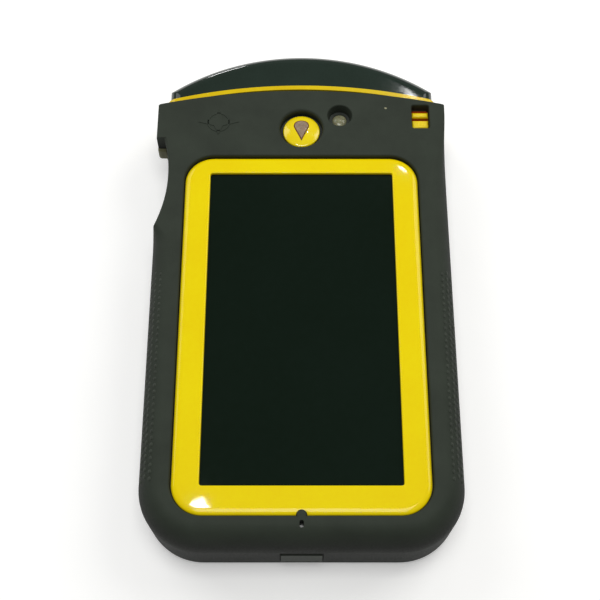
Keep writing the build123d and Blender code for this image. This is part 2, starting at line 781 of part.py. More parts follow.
# Chassis: a cast plate with lightening slots, on four legs that stand on the board
chassis_width = 2 * (case_inner_half - chassis_side_gap)
chassis_length = head_y - chassis_head_gap - case_tail_y - chassis_tail_gap
chassis_y = case_tail_y + chassis_tail_gap + chassis_length / 2
with BuildPart() as chassis:
    with BuildSketch(Plane.XY.offset(chassis_low_z)) as chassis_plate:
        with Locations((0, chassis_y)):
            RectangleRounded(chassis_width, chassis_length, post_d)
            with GridLocations(1, chassis_slot_pitch, 1, chassis_slots):
                SlotOverall(*chassis_slot, mode=Mode.SUBTRACT)
    extrude(amount=chassis_thickness)
    add(discs(board_z, post_d, post_places))
    extrude(amount=chassis_low_z - board_z)
save(chassis.part, "chassis")

# Main board on the rear housing's posts, with a tongue to the antenna and a tab to the side key
board_width = 2 * (case_inner_half - board_side_gap)
board_tail_y = case_tail_y + case_wall + board_tail_gap
board_head_y = head_y - board_head_gap
with BuildPart() as main_board:
    with BuildSketch(Plane.XY.offset(board_low_z)) as board_sheet:
        with Locations((0, board_tail_y)):
            Rectangle(board_width, board_head_y - board_tail_y, align=(Align.CENTER, Align.MIN))
        with Locations((0, board_head_y)):
            Rectangle(board_tongue_width, board_tongue, align=(Align.CENTER, Align.MIN))
        with Locations((-case_inner_half + key_tab_gap, key_y)):
            Rectangle(board_side_gap, key_tab_length, align=(Align.MIN, Align.CENTER))
        with Locations(screw_places[:4]):
            Circle(screw_boss_d / 2 + fit_gap, mode=Mode.SUBTRACT)
    extrude(amount=board_thickness)
save(main_board.part, "main_board")

with BuildPart() as shield_cans:
    for size, place in zip(can_sizes, can_places):
        with BuildSketch(Plane.XY.offset(board_z)) as can:
            with Locations(place):
                RectangleRounded(size[0], size[1], can_corner_r)
        extrude(amount=can_height)
save(shield_cans.part, "shield_cans")

connector_y = board_head_y + board_tongue - connector_size[1] / 2
with BuildPart() as board_connector:
    with BuildSketch(Plane.XY.offset(board_z)) as connector_foot:
        with Locations((0, connector_y)):
            Rectangle(*connector_size)
    extrude(amount=gnss_board_z - board_z)
save(board_connector.part, "board_connector")

gnss_y = head_y - gnss_board_from_head - gnss_board_length / 2
with BuildPart() as gnss_board:
    with BuildSketch(Plane.XY.offset(gnss_board_z)) as ground_plane:
        with Locations((0, gnss_y)):
            Rectangle(gnss_board_width, gnss_board_length)
    extrude(amount=gnss_board_thickness)
save(gnss_board.part, "gnss_board")

with BuildPart() as gnss_antenna:
    with BuildSketch(Plane.XY.offset(gnss_board_z + gnss_board_thickness)) as patch:
        with Locations((0, gnss_y)):
            RectangleRounded(patch_size, patch_size, patch_corner_r)
    extrude(amount=patch_height)
    chamfer(gnss_antenna.faces().sort_by(Axis.Z)[-1].edges(), patch_edge)
save(gnss_antenna.part, "gnss_antenna")

# Teardrop, round towards the head and pointed towards the tail
tip_reach = drop_length - drop_r
touch = acos(drop_r / tip_reach)
drop_y = button_y + drop_length / 2 - drop_r
cap_top_z = thickness - button_recess
dome_sphere_r = ((button_d / 2) ** 2 + button_rise**2) / (2 * button_rise)


def teardrop(z):
    with BuildSketch(Plane.XY.offset(z)) as sketch:
        with Locations((0, drop_y)):
            Circle(drop_r)
            Polygon(
                (0, -tip_reach),
                (drop_r * sin(touch), -drop_r * cos(touch)),
                (-drop_r * sin(touch), -drop_r * cos(touch)),
                align=None,
            )
    return sketch.sketch


# Home button: a domed cap and its stem, let down into a teardrop pocket for the window
with BuildPart() as home_button:
    add(discs(cap_low_z, button_d, [(0, button_y)]))
    extrude(amount=cap_top_z - cap_low_z)
    with Locations((0, button_y, cap_top_z - dome_sphere_r)):
        Sphere(dome_sphere_r, mode=Mode.INTERSECT)
    add(discs(stem_low_z, button_stem_d, [(0, button_y)]))
    extrude(amount=cap_low_z - stem_low_z)
    add(teardrop(cap_top_z - drop_depth))
    extrude(amount=drop_depth, mode=Mode.SUBTRACT)
save(home_button.part, "home_button")

with BuildPart() as button_window:
    add(teardrop(cap_top_z - drop_depth))
    extrude(amount=drop_depth)
    with Locations((0, button_y, cap_top_z - dome_sphere_r)):
        Sphere(dome_sphere_r, mode=Mode.INTERSECT)
save(button_window.part, "button_window")

switch_top_z = stem_low_z - button_travel - button_end_gap
with BuildPart() as home_switch:
    with BuildSketch(Plane.XY.offset(board_z)) as switch_foot:
        with Locations((0, button_y)):
            Rectangle(switch_size, switch_size)
    extrude(amount=switch_top_z - switch_plunger - board_z)
    add(discs(switch_top_z - switch_plunger, switch_plunger_d, [(0, button_y)]))
    extrude(amount=switch_plunger)
save(home_switch.part, "home_switch")

# Light sensor: a domed lens in the case's front, and the lamp under it on the antenna board
lens_sphere_r = ((sensor_d / 2) ** 2 + sensor_rise**2) / (2 * sensor_rise)
with BuildPart() as sensor_lens:
    add(discs(plate_low_z, sensor_d, [from_head(sensor_place)]))
    extrude(amount=sensor_body)
    with Locations((*from_head(sensor_place), plate_low_z + sensor_body - lens_sphere_r)):
        Sphere(lens_sphere_r, mode=Mode.INTERSECT)
save(sensor_lens.part, "sensor_lens")

gnss_top_z = gnss_board_z + gnss_board_thickness
with BuildPart() as sensor_led:
    with BuildSketch(Plane.XY.offset(gnss_top_z)) as led_foot:
        with Locations(from_head(sensor_place)):
            Rectangle(led_size[0], led_size[1])
    extrude(amount=led_size[2])
save(sensor_led.part, "sensor_led")

with BuildPart() as charge_light_pipe:
    add(discs(gnss_top_z, pipe_d, [from_head(pipe_place)]))
    extrude(amount=thickness - slip_gap - gnss_top_z)
save(charge_light_pipe.part, "charge_light_pipe")

# Cord anchor: a small tub with round bars across it that a cord is threaded under
anchor_low_z = case_front_z - anchor_depth
anchor_high_z = case_front_z + anchor_rise
anchor_x, anchor_y = from_head(anchor_place)
with BuildPart() as lanyard_anchor:
    with BuildSketch(Plane.XY.offset(anchor_low_z)) as tub:
        with Locations((anchor_x, anchor_y)):
            RectangleRounded(*anchor_size, anchor_corner_r)
    extrude(amount=anchor_high_z - anchor_low_z)
    with BuildSketch(Plane.XY.offset(anchor_low_z + anchor_floor)) as hollow:
        with Locations((anchor_x, anchor_y)):
            Rectangle(anchor_size[0] - 2 * anchor_rim, anchor_size[1] - 2 * anchor_rim)
    extrude(amount=anchor_high_z - anchor_low_z, mode=Mode.SUBTRACT)
    for bar in range(bar_count):
        bar_y = anchor_y - anchor_size[1] / 2 + bar_start + bar * bar_pitch
        with BuildSketch(Plane.YZ.offset(anchor_x)) as rung:
            with Locations((bar_y, anchor_high_z - bar_d / 2)):
                Circle(bar_d / 2)
        extrude(amount=anchor_size[0] / 2, both=True)
    with BuildSketch(Plane.XY.offset(anchor_low_z)) as anchor_limit:
        with Locations((anchor_x, anchor_y)):
            RectangleRounded(*anchor_size, anchor_corner_r)
    extrude(amount=anchor_high_z - anchor_low_z, mode=Mode.INTERSECT)
save(lanyard_anchor.part, "lanyard_anchor")

mic_y = tail_y + boot_wall + case_wall + slip_gap + mic_size[1] / 2
with BuildPart() as microphone:
    with BuildSketch(Plane.XY.offset(plate_low_z - mic_size[2])) as mic_can:
        with Locations((0, mic_y)):
            RectangleRounded(mic_size[0], mic_size[1], mic_corner_r)
    extrude(amount=mic_size[2])
save(microphone.part, "microphone")

# Side key: a small rounded cap in the boot, with a stem through the case to its switch
key_inner_x = -case_half - key_travel - slip_gap - button_end_gap
stem_x = -case_inner_half + key_stem_reach
with BuildPart() as side_key:
    with BuildSketch(Plane.YZ.offset(-half_width - key_proud)) as key_face:
        with Locations((key_y, key_z)):
            RectangleRounded(key_length, key_height, key_edge_r)
    extrude(amount=key_inner_x + half_width + key_proud)
    fillet(side_key.faces().sort_by(Axis.X)[0].edges(), key_rim_r)
    with BuildSketch(Plane.YZ.offset(key_inner_x)) as key_stem:
        with Locations((key_y, key_z)):
            Circle(key_stem_d / 2)
    extrude(amount=stem_x - key_inner_x)
save(side_key.part, "side_key")

plunger_x = stem_x + key_travel + button_end_gap
with BuildPart() as side_switch:
    with BuildSketch(Plane.XY.offset(board_z)) as side_foot:
        with Locations((plunger_x + side_plunger, key_y)):
            Rectangle(side_switch_size[0], side_switch_size[1], align=(Align.MIN, Align.CENTER))
    extrude(amount=side_switch_size[2])
    with BuildSketch(Plane.YZ.offset(plunger_x)) as side_button:
        with Locations((key_y, key_z)):
            Circle(key_stem_d / 2)
    extrude(amount=side_plunger)
save(side_switch.part, "side_switch")

# Port flap: a rubber-faced door on a pin across its foot, and the socket behind it
barrel_half = flap_width / 2 - flap_ear_width - flap_ear_gap
with BuildPart() as port_flap:
    with BuildSketch(Plane.XZ.offset(head_y)) as flap_face:
        with Locations((0, flap_low_z)):
            Rectangle(flap_width, flap_high_z - flap_low_z, align=(Align.CENTER, Align.MIN))
        fillet(flap_face.vertices().group_by(Axis.Y)[-1], flap_edge_r)
    extrude(amount=-flap_depth)
    chamfer(
        port_flap.faces().filter_by(Axis.Y).sort_by(Axis.Y)[-1].edges().sort_by(Axis.Z)[-1],
        flap_inner_chamfer,
    )
    with BuildSketch(Plane.YZ) as barrel:
        with Locations((flap_axis_y, flap_axis_z)):
            Circle(flap_barrel_r)
        with Locations((-head_y + fit_gap, flap_axis_z)):
            Rectangle(
                flap_barrel_r,
                flap_low_z - flap_axis_z + fit_gap,
                align=(Align.MIN, Align.MIN),
            )
    extrude(amount=barrel_half, both=True)
    with BuildSketch(Plane.YZ) as barrel_bore:
        with Locations((flap_axis_y, flap_axis_z)):
            Circle(flap_pin_d / 2 + running_gap)
    extrude(amount=flap_width, both=True, mode=Mode.SUBTRACT)
save(port_flap.part, "port_flap")

with BuildPart() as flap_pin:
    with BuildSketch(Plane.YZ) as flap_pin_end:
        with Locations((flap_axis_y, flap_axis_z)):
            Circle(flap_pin_d / 2)
    extrude(amount=flap_width / 2, both=True)
save(flap_pin.part, "flap_pin")

with BuildPart() as usb_socket:
    with BuildSketch(Plane.XZ.offset(-case_tail_y)) as socket_shell:
        with Locations((0, usb_z)):
            Rectangle(usb_width, usb_height)
    extrude(amount=-usb_depth)
    with BuildSketch(Plane.XZ.offset(-case_tail_y)) as socket_mouth:
        with Locations((0, usb_z)):
            Rectangle(usb_width - 2 * usb_wall, usb_height - 2 * usb_wall)
            Rectangle(*usb_tongue, mode=Mode.SUBTRACT)
    extrude(amount=-usb_mouth, mode=Mode.SUBTRACT)
save(usb_socket.part, "usb_socket")

# Battery, its contacts, and the hinged door that closes the bay
battery_low_z = door_floor_z + fit_gap
with BuildPart() as battery_pack:
    with BuildSketch(Plane.XY.offset(battery_low_z)) as battery_plan:
        with Locations((0, bay_low_y + fit_gap)):
            Rectangle(battery_width, battery_length, align=(Align.CENTER, Align.MIN))
        fillet(battery_plan.vertices(), battery_corner_r)
    extrude(amount=battery_thickness)
    fillet(battery_pack.faces().sort_by(Axis.Z)[0].edges(), battery_edge_r)
save(battery_pack.part, "battery_pack")

with BuildPart() as battery_contacts:
    with BuildSketch(Plane.XY.offset(battery_low_z)) as contact_foot:
        with Locations((0, bay_high_y)):
            Rectangle(contact_width, contact_thickness, align=(Align.CENTER, Align.MAX))
    extrude(amount=contact_height)
save(battery_contacts.part, "battery_contacts")

door_length = door_head_y - hinge_y - door_edge
door_mid_y = door_head_y - door_length / 2
seal_low_z = door_floor_z - slip_gap - seal_height
seal_inner = (2 * bay_half + 2 * bay_gap, bay_length + 2 * bay_gap)
seal_outer = (seal_inner[0] + 2 * seal_width, seal_inner[1] + 2 * seal_width)
with BuildPart() as battery_door:
    with BuildSketch(Plane.XY.offset(door_low_z)) as door_plan:
        with Locations((0, door_mid_y)):
            Rectangle(door_width, door_length)
        fillet(door_plan.vertices().group_by(Axis.Y)[-1], door_corner_r)
    extrude(amount=door_thickness)
    fillet(battery_door.faces().sort_by(Axis.Z)[0].edges(), door_edge_r)
    with BuildSketch(Plane.YZ) as knuckle:
        with Locations((hinge_y, hinge_z)):
            Circle(hinge_barrel_r)
        with Locations((hinge_y, door_high_z)):
            Rectangle(2 * door_edge, hinge_barrel_r, align=(Align.MIN, Align.MAX))
    extrude(amount=hinge_barrel_length / 2, both=True)
    with BuildSketch(Plane.YZ) as knuckle_bore:
        with Locations((hinge_y, hinge_z)):
            Circle(hinge_pin_d / 2 + running_gap)
    extrude(amount=hinge_barrel_length, both=True, mode=Mode.SUBTRACT)
    add(discs(door_low_z, lock_d + 2 * running_gap, [(0, lock_y)]))
    extrude(amount=lock_disc, mode=Mode.SUBTRACT)
    add(discs(door_low_z, lock_stem_d + 2 * running_gap, [(0, lock_y)]))
    extrude(amount=door_thickness, mode=Mode.SUBTRACT)
    with BuildSketch(Plane.XY.offset(seal_low_z)) as seal_groove:
        with Locations((0, bay_y)):
            Rectangle(*seal_outer)
            Rectangle(*seal_inner, mode=Mode.SUBTRACT)
    extrude(amount=seal_height, mode=Mode.SUBTRACT)
save(battery_door.part, "battery_door")

with BuildPart() as door_seal:
    with BuildSketch(Plane.XY.offset(seal_low_z)) as seal_ring:
        with Locations((0, bay_y)):
            Rectangle(*seal_outer)
            Rectangle(*seal_inner, mode=Mode.SUBTRACT)
    extrude(amount=seal_height)
save(door_seal.part, "door_seal")

with BuildPart() as door_hinge_pin:
    with BuildSketch(Plane.YZ) as pin_end:
        with Locations((hinge_y, hinge_z)):
            Circle(hinge_pin_d / 2)
    extrude(amount=bore_reach, both=True)
save(door_hinge_pin.part, "door_hinge_pin")

# Quarter-turn lock: a coin-slotted disc, its stem and the cam that catches behind the case
cam_low_z = back_floor_z + cam_gap
with BuildPart() as door_lock:
    add(discs(door_low_z, lock_d, [(0, lock_y)]))
    extrude(amount=lock_disc)
    add(discs(door_low_z + lock_disc, lock_stem_d, [(0, lock_y)]))
    extrude(amount=cam_low_z - door_low_z - lock_disc)
    with BuildSketch(Plane.XY.offset(cam_low_z)) as cam:
        with Locations((0, lock_y)):
            SlotOverall(cam_size[1], cam_size[0], rotation=90)
            Circle(lock_stem_d / 2)
    extrude(amount=cam_size[2])
    with BuildSketch(Plane.XY.offset(door_low_z)) as coin_slot:
        with Locations((0, lock_y)):
            SlotOverall(lock_slot[0], lock_slot[1])
    extrude(amount=lock_slot[2], mode=Mode.SUBTRACT)
save(door_lock.part, "door_lock")

# Speaker, camera and flash in the back
with BuildPart() as speaker:
    add(discs(back_floor_z, speaker_d, [speaker_place]))
    extrude(amount=speaker_height)
    add(discs(back_floor_z, speaker_cone_d, [speaker_place]))
    extrude(amount=speaker_cone, mode=Mode.SUBTRACT)
save(speaker.part, "speaker")

with BuildPart() as speaker_grille:
    add(discs(pad_recess, grille_d, [speaker_place]))
    extrude(amount=grille_thickness)
    with BuildSketch(Plane.XY.offset(pad_recess)) as slots:
        with Locations(speaker_place):
            for row in range(grille_slots):
                offset_y = (row - (grille_slots - 1) / 2) * grille_slot_pitch
                chord = sqrt((grille_hole_d / 2) ** 2 - offset_y**2)
                with Locations((0, offset_y)):
                    SlotOverall(2 * chord, grille_slot_width)
    extrude(amount=grille_thickness, mode=Mode.SUBTRACT)
save(speaker_grille.part, "speaker_grille")

with BuildPart() as camera_ring:
    add(discs(pad_recess, camera_ring_d, [camera_place]))
    extrude(amount=grille_thickness)
    chamfer(camera_ring.faces().sort_by(Axis.Z)[0].edges(), camera_ring_edge)
    add(discs(pad_recess, camera_window_d, [camera_place]))
    extrude(amount=grille_thickness, mode=Mode.SUBTRACT)
save(camera_ring.part, "camera_ring")

with BuildPart() as camera_window:
    add(discs(pad_recess + grille_thickness - window_thickness, camera_window_d, [camera_place]))
    extrude(amount=window_thickness)
save(camera_window.part, "camera_window")

with BuildPart() as camera_module:
    with BuildSketch(Plane.XY.offset(back_floor_z)) as camera_plan:
        with Locations(camera_place):
            Rectangle(camera_size[0], camera_size[1])
    extrude(amount=camera_size[2])
    add(discs(back_floor_z - camera_lens, camera_lens_d, [camera_place]))
    extrude(amount=camera_lens)
save(camera_module.part, "camera_module")

with BuildPart() as flash_window:
    add(discs(pad_recess + window_recess, flash_window_d, [flash_place]))
    extrude(amount=window_thickness)
save(flash_window.part, "flash_window")

with BuildPart() as flash_led:
    with BuildSketch(Plane.XY.offset(back_floor_z)) as flash_plan:
        with Locations(flash_place):
            Rectangle(flash_led_size[0], flash_led_size[1])
    extrude(amount=flash_led_size[2])
save(flash_led.part, "flash_led")
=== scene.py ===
import math

import bmesh
import bpy
from mathutils import Matrix, Vector


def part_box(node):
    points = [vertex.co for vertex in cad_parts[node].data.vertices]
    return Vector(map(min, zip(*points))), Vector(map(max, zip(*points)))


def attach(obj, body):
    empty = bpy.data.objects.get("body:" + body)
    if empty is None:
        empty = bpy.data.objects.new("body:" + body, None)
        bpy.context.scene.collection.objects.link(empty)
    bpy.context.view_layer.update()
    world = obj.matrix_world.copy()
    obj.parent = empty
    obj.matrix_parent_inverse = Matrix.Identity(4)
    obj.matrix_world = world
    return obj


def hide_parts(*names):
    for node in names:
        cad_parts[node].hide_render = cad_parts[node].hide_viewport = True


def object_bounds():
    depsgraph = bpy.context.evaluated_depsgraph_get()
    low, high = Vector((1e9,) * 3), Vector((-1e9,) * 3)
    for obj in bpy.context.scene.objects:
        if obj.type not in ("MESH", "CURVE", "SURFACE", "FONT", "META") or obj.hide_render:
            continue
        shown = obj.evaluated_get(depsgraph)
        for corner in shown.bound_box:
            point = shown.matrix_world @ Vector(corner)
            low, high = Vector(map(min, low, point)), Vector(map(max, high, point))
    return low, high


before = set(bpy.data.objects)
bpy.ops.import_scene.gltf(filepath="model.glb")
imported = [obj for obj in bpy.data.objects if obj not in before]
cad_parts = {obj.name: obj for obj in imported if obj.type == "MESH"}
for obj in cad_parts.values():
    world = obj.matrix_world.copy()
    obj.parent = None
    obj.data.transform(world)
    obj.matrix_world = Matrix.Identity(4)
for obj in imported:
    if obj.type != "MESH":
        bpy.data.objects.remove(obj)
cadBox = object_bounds()
mm = 0.001
print("frame loaded:", len(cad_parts), "parts")


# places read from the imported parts, in metres
def middleOf(node):
    low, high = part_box(node)
    return (low + high) / 2


bootLow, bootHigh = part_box("rubber_boot")
bezelLow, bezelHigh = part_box("front_bezel")
glassLow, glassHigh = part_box("display_glass")
domeLow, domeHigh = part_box("antenna_dome")
trimLow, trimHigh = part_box("accent_trim")
backLow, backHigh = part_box("rear_housing")
buttonLow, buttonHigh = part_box("home_button")
sensorLow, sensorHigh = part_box("sensor_lens")
anchorLow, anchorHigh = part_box("lanyard_anchor")
flapLow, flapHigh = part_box("port_flap")
keyLow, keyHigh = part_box("side_key")
bezelMiddle = middleOf("front_bezel")
glassMiddle = middleOf("display_glass")
buttonMiddle = middleOf("home_button")
sensorMiddle = middleOf("sensor_lens")
pipeMiddle = middleOf("charge_light_pipe")
anchorMiddle = middleOf("lanyard_anchor")
keyMiddle = middleOf("side_key")
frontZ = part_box("front_housing")[1].z  # the case's front, under the rubber


# finishes: every pattern is scaled from a size in millimetres, on Object coordinates
def linear(code):
    # an sRGB hex colour as the linear values that a shader wants
    parts = [int(code[i:i + 2], 16) / 255 for i in (1, 3, 5)]
    return tuple(c / 12.92 if c <= 0.04045 else ((c + 0.055) / 1.055) ** 2.4 for c in parts) + (1.0,)


def addNode(tree, kind, settings=None, links=None):
    # adds one node; settings go to its inputs or its own properties, links are (node, output)
    made = tree.nodes.new(kind)
    for key, value in (settings or {}).items():
        if isinstance(key, int) or key in made.inputs:
            made.inputs[key].default_value = value
        else:
            setattr(made, key, value)
    for key, (source, output) in (links or {}).items():
        tree.links.new(source.outputs[output], made.inputs[key])
    return made


def perMm(size):
    # noise scale that gives features of a size in millimetres
    return 1000.0 / size


def surface(name, colours, rough, grainMm, bumpMm, patchMm=9.0, extras=None, stretch=(1, 1, 1), paintedShade=None):
    # one finish: two tones in soft patches, a grain that shows in the gloss and as relief.
    # the last argument is (colour, low z, high z): painted shade, a darker tone that takes over below a
    # height and stands in for the shade down in gaps
    material = bpy.data.materials.new(name)
    material.use_nodes = True
    tree = material.node_tree
    shader = tree.nodes["Principled BSDF"]
    for key, value in (extras or {}).items():
        shader.inputs[key].default_value = value
    place = addNode(tree, "ShaderNodeTexCoord")
    mapping = addNode(tree, "ShaderNodeMapping", {"Scale": stretch}, {"Vector": (place, "Object")})
    patches = addNode(tree, "ShaderNodeTexNoise", {"Scale": perMm(patchMm), "Detail": 3.0, "Roughness": 0.6},
                      {"Vector": (mapping, "Vector")})
    grain = addNode(tree, "ShaderNodeTexNoise", {"Scale": perMm(grainMm), "Detail": 2.0, "Roughness": 0.5},
                    {"Vector": (mapping, "Vector")})
    blend = addNode(tree, "ShaderNodeMath", {"operation": "MULTIPLY_ADD", 1: 0.35},
                    {0: (grain, "Fac"), 2: (patches, "Fac")})
    spread = addNode(tree, "ShaderNodeMapRange", {"From Min": 0.45, "From Max": 0.9},
                     {"Value": (blend, "Value")})
    tone = addNode(tree, "ShaderNodeMix", {"data_type": "RGBA", 6: linear(colours[0]), 7: linear(colours[1])},
                   {0: (spread, "Result")})
    # painted shade: lower down, the colour turns to the darker tone
    if paintedShade:
        apart = addNode(tree, "ShaderNodeSeparateXYZ", {}, {"Vector": (place, "Object")})
        depth = addNode(tree, "ShaderNodeMapRange",
                        {"From Min": paintedShade[1], "From Max": paintedShade[2], "interpolation_type": "SMOOTHSTEP"},
                        {"Value": (apart, "Z")})
        tone = addNode(tree, "ShaderNodeMix", {"data_type": "RGBA", 6: linear(paintedShade[0])},
                       {0: (depth, "Result"), 7: (tone, 2)})
    tree.links.new(tone.outputs[2], shader.inputs["Base Color"])
    gloss = addNode(tree, "ShaderNodeMapRange", {"From Min": 0.3, "From Max": 0.7, "To Min": rough[0],
                                                 "To Max": rough[1]}, {"Value": (grain, "Fac")})
    tree.links.new(gloss.outputs["Result"], shader.inputs["Roughness"])
    relief = addNode(tree, "ShaderNodeBump", {"Strength": 1.0, "Distance": bumpMm * mm},
                     {"Height": (grain, "Fac")})
    tree.links.new(relief.outputs["Normal"], shader.inputs["Normal"])
    return material


# silicone rubber overmould: dull and velvety, spark-eroded mould grain, a trace of green,
# with painted shade: darker where it curves away from the front, and down in its openings
siliconeRubber = surface("siliconeRubberMoulded", ("#2b3129", "#333a31"), (0.62, 0.78), 0.45, 0.035, 14.0,
                         {"IOR": 1.42, "Specular IOR Level": 0.28},
                         paintedShade=("#141812", bootHigh.z - 7.5 * mm, bootHigh.z - 0.4 * mm))
# the same rubber where hands polish the raised grip dots
gripRubber = surface("siliconeRubberWorn", ("#2a3028", "#363d33"), (0.5, 0.66), 0.4, 0.02, 6.0,
                     {"IOR": 1.42, "Specular IOR Level": 0.34})
# radome ABS, glossy black-green: clear small highlights, hairline handling marks
radomePlastic = surface("glossAbsRadome", ("#1e2a23", "#24312a"), (0.05, 0.09), 0.9, 0.0012, 20.0,
                        {"IOR": 1.5, "Specular IOR Level": 0.4})
# yellow ABS, polished mould: strong even colour, sharp highlights; painted shade turns it orange down in its
# gaps
yellowFrame = surface("glossAbsYellow", ("#f3d600", "#f6df01"), (0.3, 0.4), 1.2, 0.002, 24.0,
                      {"IOR": 1.5, "Specular IOR Level": 0.04, "Coat Weight": 0.45, "Coat Roughness": 0.03},
                      paintedShade=("#7a3a02", bezelHigh.z - 1.25 * mm, bezelHigh.z - 0.75 * mm))
yellowBead = surface("glossAbsYellowBead", ("#dcb902", "#e8cb0a"), (0.16, 0.24), 1.0, 0.003, 18.0,
                     {"IOR": 1.5, "Specular IOR Level": 0.3, "Coat Weight": 0.25, "Coat Roughness": 0.08})
# yellow key ABS; painted shade turns it orange-brown down its sides in the recess
yellowKey = surface("glossAbsYellowKey", ("#f2d600", "#f7df08"), (0.10, 0.18), 1.0, 0.003, 12.0,
                    {"IOR": 1.5, "Specular IOR Level": 0.45, "Coat Weight": 0.5, "Coat Roughness": 0.04},
                    paintedShade=("#8a4a04", buttonHigh.z - 1.6 * mm, buttonHigh.z - 1.0 * mm))
# yellow anchor ABS; painted shade turns it dark red-orange down in the grooves between its bars
yellowAnchor = surface("glossAbsYellowPaintedShade", ("#f0cf04", "#f4da08"), (0.2, 0.3), 0.9, 0.006, 8.0,
                       {"IOR": 1.5, "Specular IOR Level": 0.35},
                       paintedShade=("#a8400a", anchorHigh.z - 1.9 * mm, anchorHigh.z - 0.8 * mm))
# chemically tempered cover glass, dark behind: deep green-black, mirror smooth, coated against glare
coverGlass = surface("temperedGlassDarkBacked", ("#101b13", "#131e17"), (0.03, 0.06), 2.5, 0.0004, 60.0,
                     {"IOR": 1.51, "Specular IOR Level": 0.08})
displayPanel = surface("displayPanelOff", ("#0b100c", "#101610"), (0.25, 0.35), 0.3, 0.001, 30.0)
# glass-filled nylon housing, fine spark texture: dark and even, soft wide highlight
caseNylon = surface("nylonGlassFilled", ("#262b26", "#2f352e"), (0.5, 0.66), 0.35, 0.02, 11.0,
                    {"IOR": 1.53, "Specular IOR Level": 0.4})
# extruded silicone cord: smooth, faintly shiny black
sealRubber = surface("siliconeCordBlack", ("#161616", "#202020"), (0.4, 0.5), 0.8, 0.006)
# zinc-plated steel: pale, slightly blue, turned face
zincSteel = surface("steelZincPlated", ("#9a9ca0", "#b4b6ba"), (0.24, 0.38), 0.25, 0.004, 3.0,
                    {"Metallic": 1.0}, (1, 1, 0.2))
# free-cutting brass, turned: warm yellow with fine rings left by the tool
turnedBrass = surface("brassTurned", ("#b08a3e", "#cfa95a"), (0.22, 0.34), 0.2, 0.004, 2.0,
                      {"Metallic": 1.0}, (1, 1, 6))
# die-cast magnesium alloy: grey, cloudy, finely pitted skin
castMetal = surface("magnesiumDieCast", ("#85878a", "#a3a5a8"), (0.42, 0.6), 0.5, 0.02, 7.0,
                    {"Metallic": 1.0})
# FR-4 laminate under green solder mask: satin, with the weave just showing
solderMask = surface("fr4SolderMask", ("#0d3b22", "#14502e"), (0.3, 0.42), 0.6, 0.008, 3.0)
# tinned steel cans: bright, drawn along one way
tinnedSteel = surface("steelTinnedDrawn", ("#a8a9a8", "#c2c3c1"), (0.28, 0.42), 0.25, 0.004, 4.0,
                      {"Metallic": 1.0}, (0.15, 1, 1))
# fired dielectric ceramic: chalky sand tone with dark specks
firedCeramic = surface("ceramicFired", ("#b39b78", "#cbb691"), (0.55, 0.75), 0.3, 0.01, 1.2)
# smoked polycarbonate window: greyish pink, cloudy just under a glossy skin
smokedWindow = surface("polycarbonateSmoked", ("#8a7564", "#a8937f"), (0.12, 0.2), 0.7, 0.004, 1.6,
                       {"IOR": 1.58, "Subsurface Weight": 0.12, "Subsurface Scale": 0.001})
# a dark brown ring round that window: painted shade for the gap between the window and its pocket
brownShadeRing = surface("paintedShadeBrownRing", ("#6b3d12", "#7d4c1c"), (0.3, 0.4), 0.6, 0.004, 2.0)
# diffusing lens: olive-grey, faint swirl from the moulding gate
diffusingLens = surface("acrylicDiffusing", ("#74745a", "#8f8e6f"), (0.14, 0.22), 0.8, 0.006, 1.5,
                        {"IOR": 1.49, "Subsurface Weight": 0.1, "Subsurface Scale": 0.001})
# olive silicone key: dull, a little lighter than the boot
keyRubber = surface("siliconeKeyOlive", ("#55553b", "#636348"), (0.5, 0.62), 0.4, 0.015, 4.0,
                    {"IOR": 1.42, "Specular IOR Level": 0.35})
# thermoplastic rubber flap: matt black-green, one tone off the boot
flapRubber = surface("thermoplasticRubberFlap", ("#252b24", "#2e342b"), (0.55, 0.7), 0.4, 0.02, 6.0,
                     {"IOR": 1.45, "Specular IOR Level": 0.32})
# heat-shrunk polyester wrap: satin blue-black, slightly wrinkled
shrinkWrap = surface("polyesterShrinkWrap", ("#1d2c3a", "#26394a"), (0.25, 0.38), 2.2, 0.03, 15.0)
# die-cast zinc lock, satin nickel: soft grey metal with a grain
nickelLock = surface("zincNickelSatin", ("#8d8b86", "#a6a49e"), (0.3, 0.44), 0.2, 0.005, 3.0,
                     {"Metallic": 1.0})
# perforated stainless sheet, painted dark: metal shows as a faint sparkle
paintedGrille = surface("stainlessPaintedDark", ("#2a2c2c", "#3a3c3c"), (0.34, 0.5), 0.2, 0.008, 2.0,
                        {"Metallic": 0.6})
# anodised aluminium ring: dark satin, spun finish
anodisedRing = surface("aluminiumAnodisedDark", ("#3c3e42", "#505358"), (0.26, 0.38), 0.2, 0.004, 2.0,
                       {"Metallic": 1.0}, (1, 1, 5))

finishes = {
    "boot_rubber": siliconeRubber, "dome_plastic": radomePlastic, "yellow_trim": yellowFrame,
    "display_glass": coverGlass, "display_panel": displayPanel, "case_plastic": caseNylon,
    "seal_rubber": sealRubber, "screw_steel": zincSteel, "insert_brass": turnedBrass,
    "chassis_metal": castMetal, "board_laminate": solderMask, "can_metal": tinnedSteel,
    "patch_ceramic": firedCeramic, "window_plastic": smokedWindow, "lens_plastic": diffusingLens,
    "key_rubber": keyRubber, "flap_rubber": flapRubber, "battery_wrap": shrinkWrap,
    "lock_metal": nickelLock, "grille_metal": paintedGrille, "ring_aluminium": anodisedRing,
}
slotOf = {}
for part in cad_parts.values():
    for holder in part.material_slots:
        slotOf[part.name] = holder.material.name.split(".")[0]
        holder.material = finishes[slotOf[part.name]]
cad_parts["charge_light_pipe"].material_slots[0].material = diffusingLens
print("finishes made:", len(finishes))


# mesh helpers
def polygonFace(bm, corners, z):
    return bm.faces.new([bm.verts.new((x, y, z)) for x, y in corners])


def roundCorners(bm, verts, radius, segments):
    # rounds the corners of a flat outline before it is given any height
    bmesh.ops.bevel(bm, geom=verts, offset=radius, segments=segments, profile=0.5,
                    affect="VERTICES", material=-1)
    bm.faces.ensure_lookup_table()
    return bm.faces[0]


